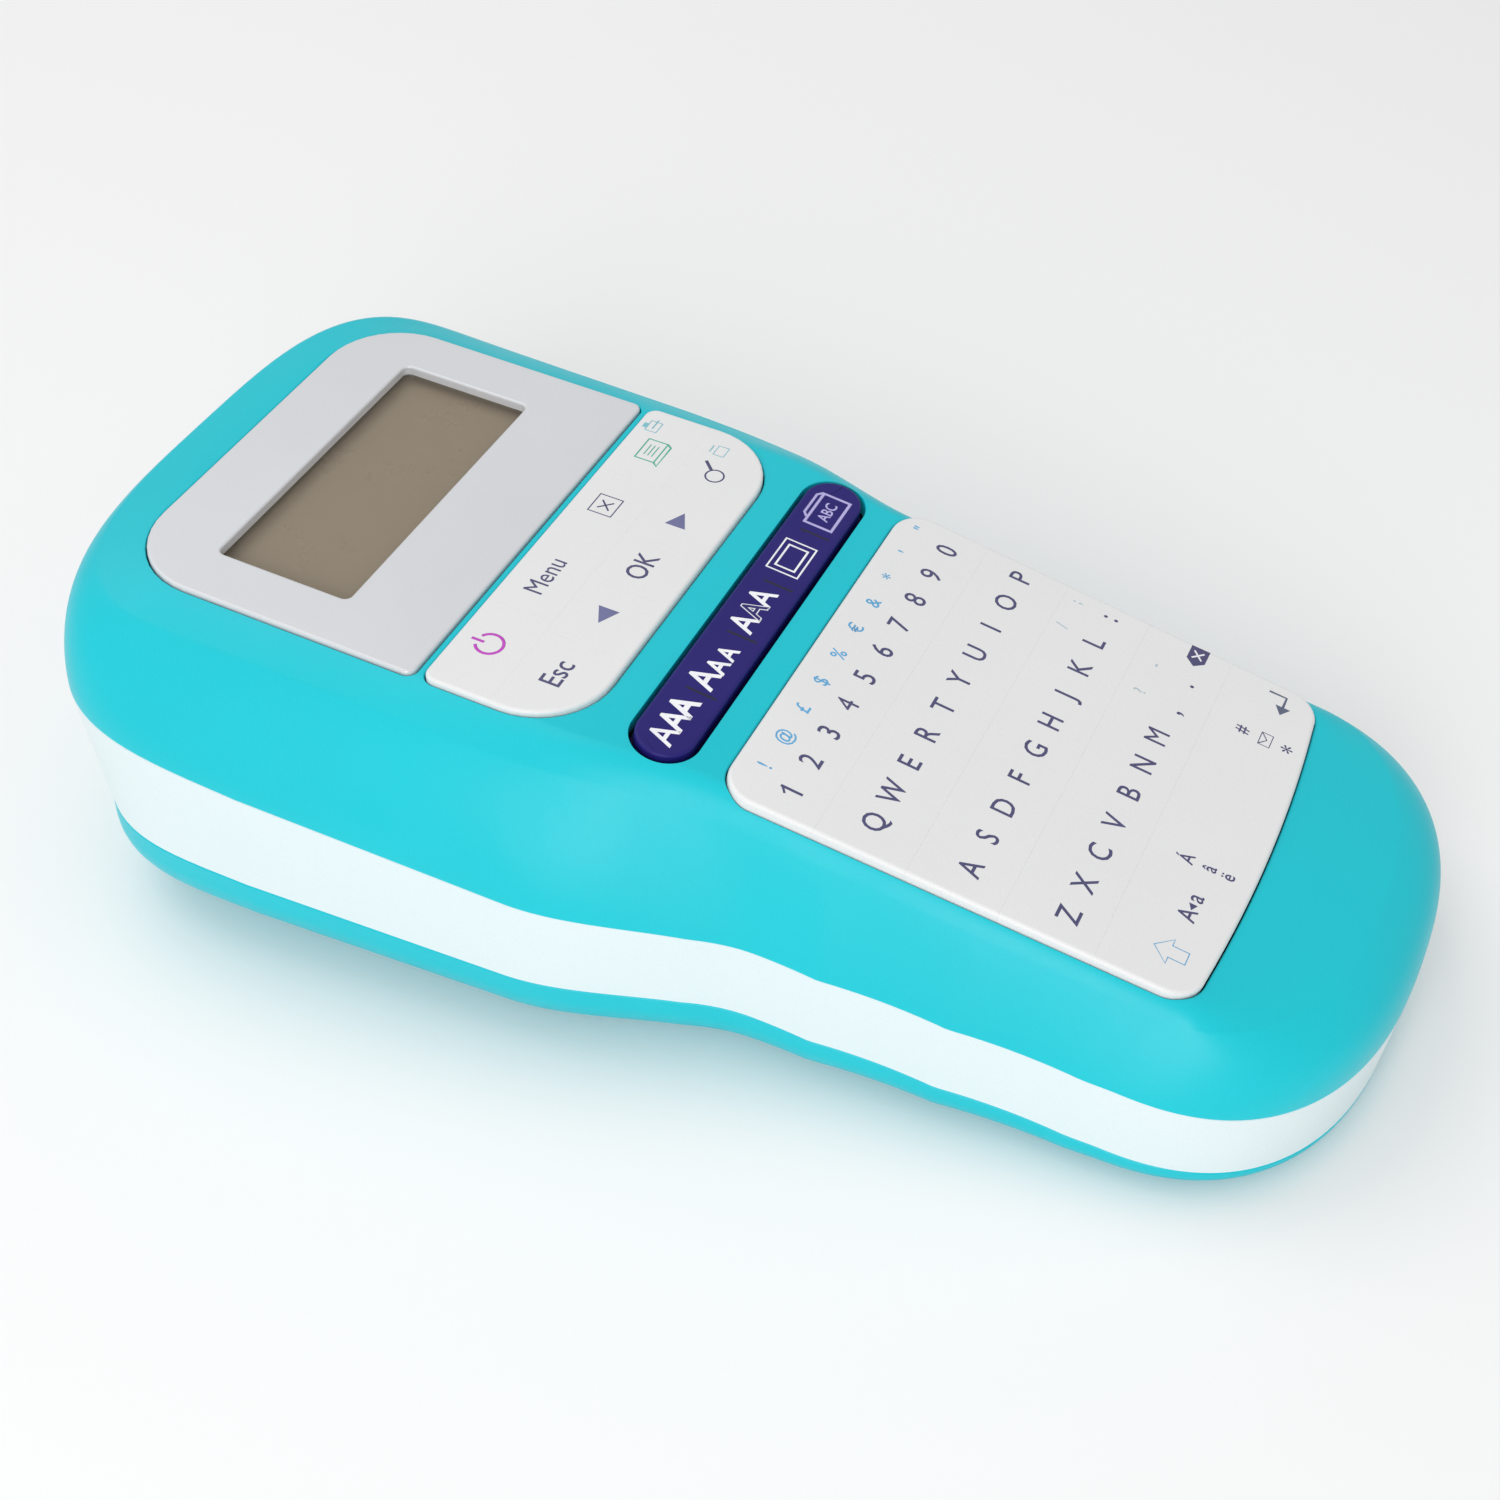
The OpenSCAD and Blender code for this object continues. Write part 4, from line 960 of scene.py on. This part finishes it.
def dot_grid(tree, place_at):
    """The display's dots: a square grid of faint gaps."""
    parts = tree.nodes.new("ShaderNodeSeparateXYZ")
    tree.links.new(place_at, parts.inputs[0])
    gaps = []
    for axis in (0, 1):
        cell = maths(tree, "FRACT", maths(tree, "MULTIPLY", parts.outputs[axis], 1 / (DOT_PITCH * MM)))
        off_middle = maths(tree, "ABSOLUTE", maths(tree, "SUBTRACT", cell, 0.5))
        gaps.append(maths(tree, "GREATER_THAN", off_middle, DOT_REACH))
    return maths(tree, "MULTIPLY", maths(tree, "MAXIMUM", *gaps), 0.16)


def board_tracks(tree, place_at):
    tracks = noise(tree, moved_place(tree, place_at, scale=(1, 6, 1)), 180.0, 1.0)
    return maths(tree, "MULTIPLY", maths(tree, "GREATER_THAN", tracks, 0.56), 0.4)


def wound_layers(tree, place_at, at):
    """Edges of wound film: rings round the reel's axis."""
    wave = tree.nodes.new("ShaderNodeTexWave")
    wave.wave_type, wave.rings_direction = "RINGS", "Z"
    wave.inputs["Scale"].default_value = 900
    wave.inputs["Distortion"].default_value = 0.6
    tree.links.new(moved_place(tree, place_at, at), wave.inputs["Vector"])
    return maths(tree, "MULTIPLY", wave.outputs["Fac"], 0.35)


lcd = patterned("lcd", (0.385, 0.295, 0.170), (0.305, 0.232, 0.135), dot_grid, 0.3, wear=0.04, patches=35)
board = patterned("circuit_board", (0.012, 0.13, 0.05), (0.03, 0.24, 0.10), board_tracks, 0.3)
reel_middle = sum(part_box("tape_roll"), Vector()) / 2
tape_film = patterned("tape_film", (0.80, 0.80, 0.77), (0.55, 0.55, 0.52),
                      lambda tree, p: wound_layers(tree, p, tuple(-c for c in reel_middle)), 0.25)
cell_lo, cell_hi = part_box("batteries")


def cell_bands(tree, place_at):
    """A lighter band at one end of each battery's sleeve."""
    parts = tree.nodes.new("ShaderNodeSeparateXYZ")
    tree.links.new(place_at, parts.inputs[0])
    return maths(tree, "GREATER_THAN", parts.outputs[1], mix(cell_lo.y, cell_hi.y, 0.7))


cell_wrap = patterned("cell_wrap", (0.030, 0.050, 0.075), (0.45, 0.36, 0.16), cell_bands, 0.25)

lens = bpy.data.materials.new("clear_lens")
lens.use_nodes = True
shader = lens.node_tree.nodes["Principled BSDF"]
shader.inputs["Base Color"].default_value = (0.20, 0.21, 0.24, 1)
shader.inputs["Alpha"].default_value = 0.14
shader.inputs["Specular IOR Level"].default_value = 0.9
smears = noise(lens.node_tree, object_place(lens.node_tree), 60.0, 4.0, 0.6)
lens.node_tree.links.new(spread(lens.node_tree, smears, 0.3, 0.75, 0.06, 0.10), shader.inputs["Roughness"])


def ink(name, colour):
    lifted = tuple(min(1, c * 1.15 + 0.002) for c in colour)
    return plastic("ink_" + name, colour, lifted, 0.45, 0.05, 3000, 400, 0.05)


# seam is no real ink: its near-black is painted shade for the dashes along the ridges between the strip's
# keys.
INKS_AND_SEAM_SHADE = {"slate": ink("slate", (0.062, 0.060, 0.155)), "slate2": ink("slate2", (0.10, 0.12, 0.19)),
        "arrow": ink("arrow", (0.14, 0.145, 0.30)), "blue": ink("blue", (0.10, 0.36, 0.62)),
        "pale": ink("pale", (0.42, 0.52, 0.56)), "magenta": ink("magenta", (0.50, 0.045, 0.50)),
        "green": ink("green", (0.06, 0.42, 0.27)), "cyan": ink("cyan", (0.18, 0.48, 0.55)),
        "white": ink("white", (0.85, 0.86, 0.92)), "lilac": ink("lilac", (0.44, 0.40, 0.72)),
        "dark": ink("dark", (0.012, 0.006, 0.13)), "seam": ink("seam", (0.001, 0.0005, 0.022))}


# ---- what stands for what, and what it rides on ----
def dress(piece, mat):
    piece.data.materials.clear()
    piece.data.materials.append(mat)
    for polygon in piece.data.polygons:
        polygon.material_index = 0


def settle(piece, body, mat, slot_name, *nodes):
    dress(piece, mat)
    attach(piece, body)
    if nodes:
        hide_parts(*nodes)


settle(shell_upper, "case", teal, "teal_shell", "top_cover")
settle(light_band, "case", light, "white_band", "mid_case")
settle(back_skin, "back", teal, "teal_shell", "back_cover")
settle(panel_face, "case", silver, "silver_panel", "display_panel")
settle(nav_base, "case", pad_white, "key_rubber", "nav_pad")
settle(strip_base, "case", navy, "navy_rubber", "style_pad")
settle(key_base, "case", pad_white, "key_rubber", "key_pad")
for body, piece in key_pads.items():
    family = body.split("_")[0]
    node = {"nav": "nav_key_", "style": "style_key_", "row": "key_row_"}[family] + body[len(family) + 1:]
    is_dark = family == "style"
    settle(piece, body, navy if is_dark else pad_white, "navy_rubber" if is_dark else "key_rubber", node)
for piece, body, colour in ink_and_shade_pieces.values():
    settle(piece, body, INKS_AND_SEAM_SHADE[colour], "navy_rubber" if body.startswith("style") else "key_rubber")

NODE_FINISH = {
    teal: ("cutter_lever",),
    black: ("cover_latch", "lcd_holder", "board_chips", "dc_jack"),
    lcd: ("lcd_glass",),
    lens: ("lcd_lens",),
    flex_film: ("lcd_flex",),
    board: ("main_pcb", "upper_pcb"),
    ceramic: ("print_head",),
    steel: ("head_arm", "head_spring", "mech_plate", "feed_motor", "platen_shaft", "cutter_blade",
            "cutter_spring", "battery_springs", "battery_contacts", "case_screws"),
    brass: ("motor_pinion",),
    nylon: ("idler_gear", "ribbon_idler", "platen_gear", "ribbon_spindle"),
    rubber: ("platen_roller",),
    cassette_dark: ("cassette_shell",),
    cassette_grey: ("cassette_lid",),
    tape_film: ("tape_roll",),
    ribbon_film: ("ribbon_supply", "ribbon_takeup"),
    cell_wrap: ("batteries",)}
for mat, names in NODE_FINISH.items():
    for name in names:
        dress(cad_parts[name], mat)
NODE_UNDER = {pad_white: [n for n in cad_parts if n.startswith(("nav_", "key_"))],
              navy: [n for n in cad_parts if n.startswith("style_")],
              light: ["mid_case"], silver: ["display_panel"], teal: ["top_cover", "back_cover"]}
for mat, names in NODE_UNDER.items():
    for name in names:
        dress(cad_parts[name], mat)

# ---- floor, light and camera ----
bpy.ops.object.select_all(action="DESELECT")
bpy.ops.mesh.primitive_plane_add(size=6, location=(0, 0, -0.0002))
floor = fresh("floor")
floor.data.transform(floor.matrix_world)
floor.matrix_world = Matrix.Identity(4)
paper = bpy.data.materials.new("floor_paper")
paper.use_nodes = True
shader = paper.node_tree.nodes["Principled BSDF"]
shader.inputs["Base Color"].default_value = (0.93, 0.93, 0.93, 1)
shader.inputs["Roughness"].default_value = 0.9
dress(floor, paper)

world = bpy.data.worlds.new("studio")
bpy.context.scene.world = world
world.use_nodes = True
world.node_tree.nodes["Background"].inputs["Color"].default_value = (1, 1, 1, 1)
world.node_tree.nodes["Background"].inputs["Strength"].default_value = 0.66


AIM = (0, 0, 0.02)       # what the lamps face


def softbox(name, at, size, energy):
    lamp = bpy.data.lights.new(name, "AREA")
    lamp.shape, lamp.size, lamp.energy = "DISK", size, energy
    obj = bpy.data.objects.new(name, lamp)
    obj.location = at
    obj.rotation_euler = (Vector(AIM) - Vector(at)).to_track_quat("-Z", "Y").to_euler()
    bpy.context.scene.collection.objects.link(obj)


softbox("key_light", (-0.75, -0.15, 0.45), 0.5, 2.9)
softbox("fill_light", (0.1, 0.5, 0.9), 0.8, 2.2)

LENS_MM, SENSOR_MM = 52.84, 36
shot = bpy.data.cameras.new("camera")
shot.lens, shot.sensor_width, shot.clip_start = LENS_MM, SENSOR_MM, 0.01
camera = bpy.data.objects.new("camera", shot)
bpy.context.scene.collection.objects.link(camera)
right, down, ahead = (Vector(v) for v in ((0.43036, -0.90166, -0.04242), (-0.63552, -0.26929, -0.72360),
                                          (0.64102, 0.33837, -0.68891)))
camera.matrix_world = Matrix.LocRotScale(
    Vector((-0.22482, -0.11611, 0.26178)), Matrix((right, -down, -ahead)).transposed().to_quaternion(), None)
bpy.context.scene.camera = camera
bpy.context.scene.view_settings.view_transform = "Standard"
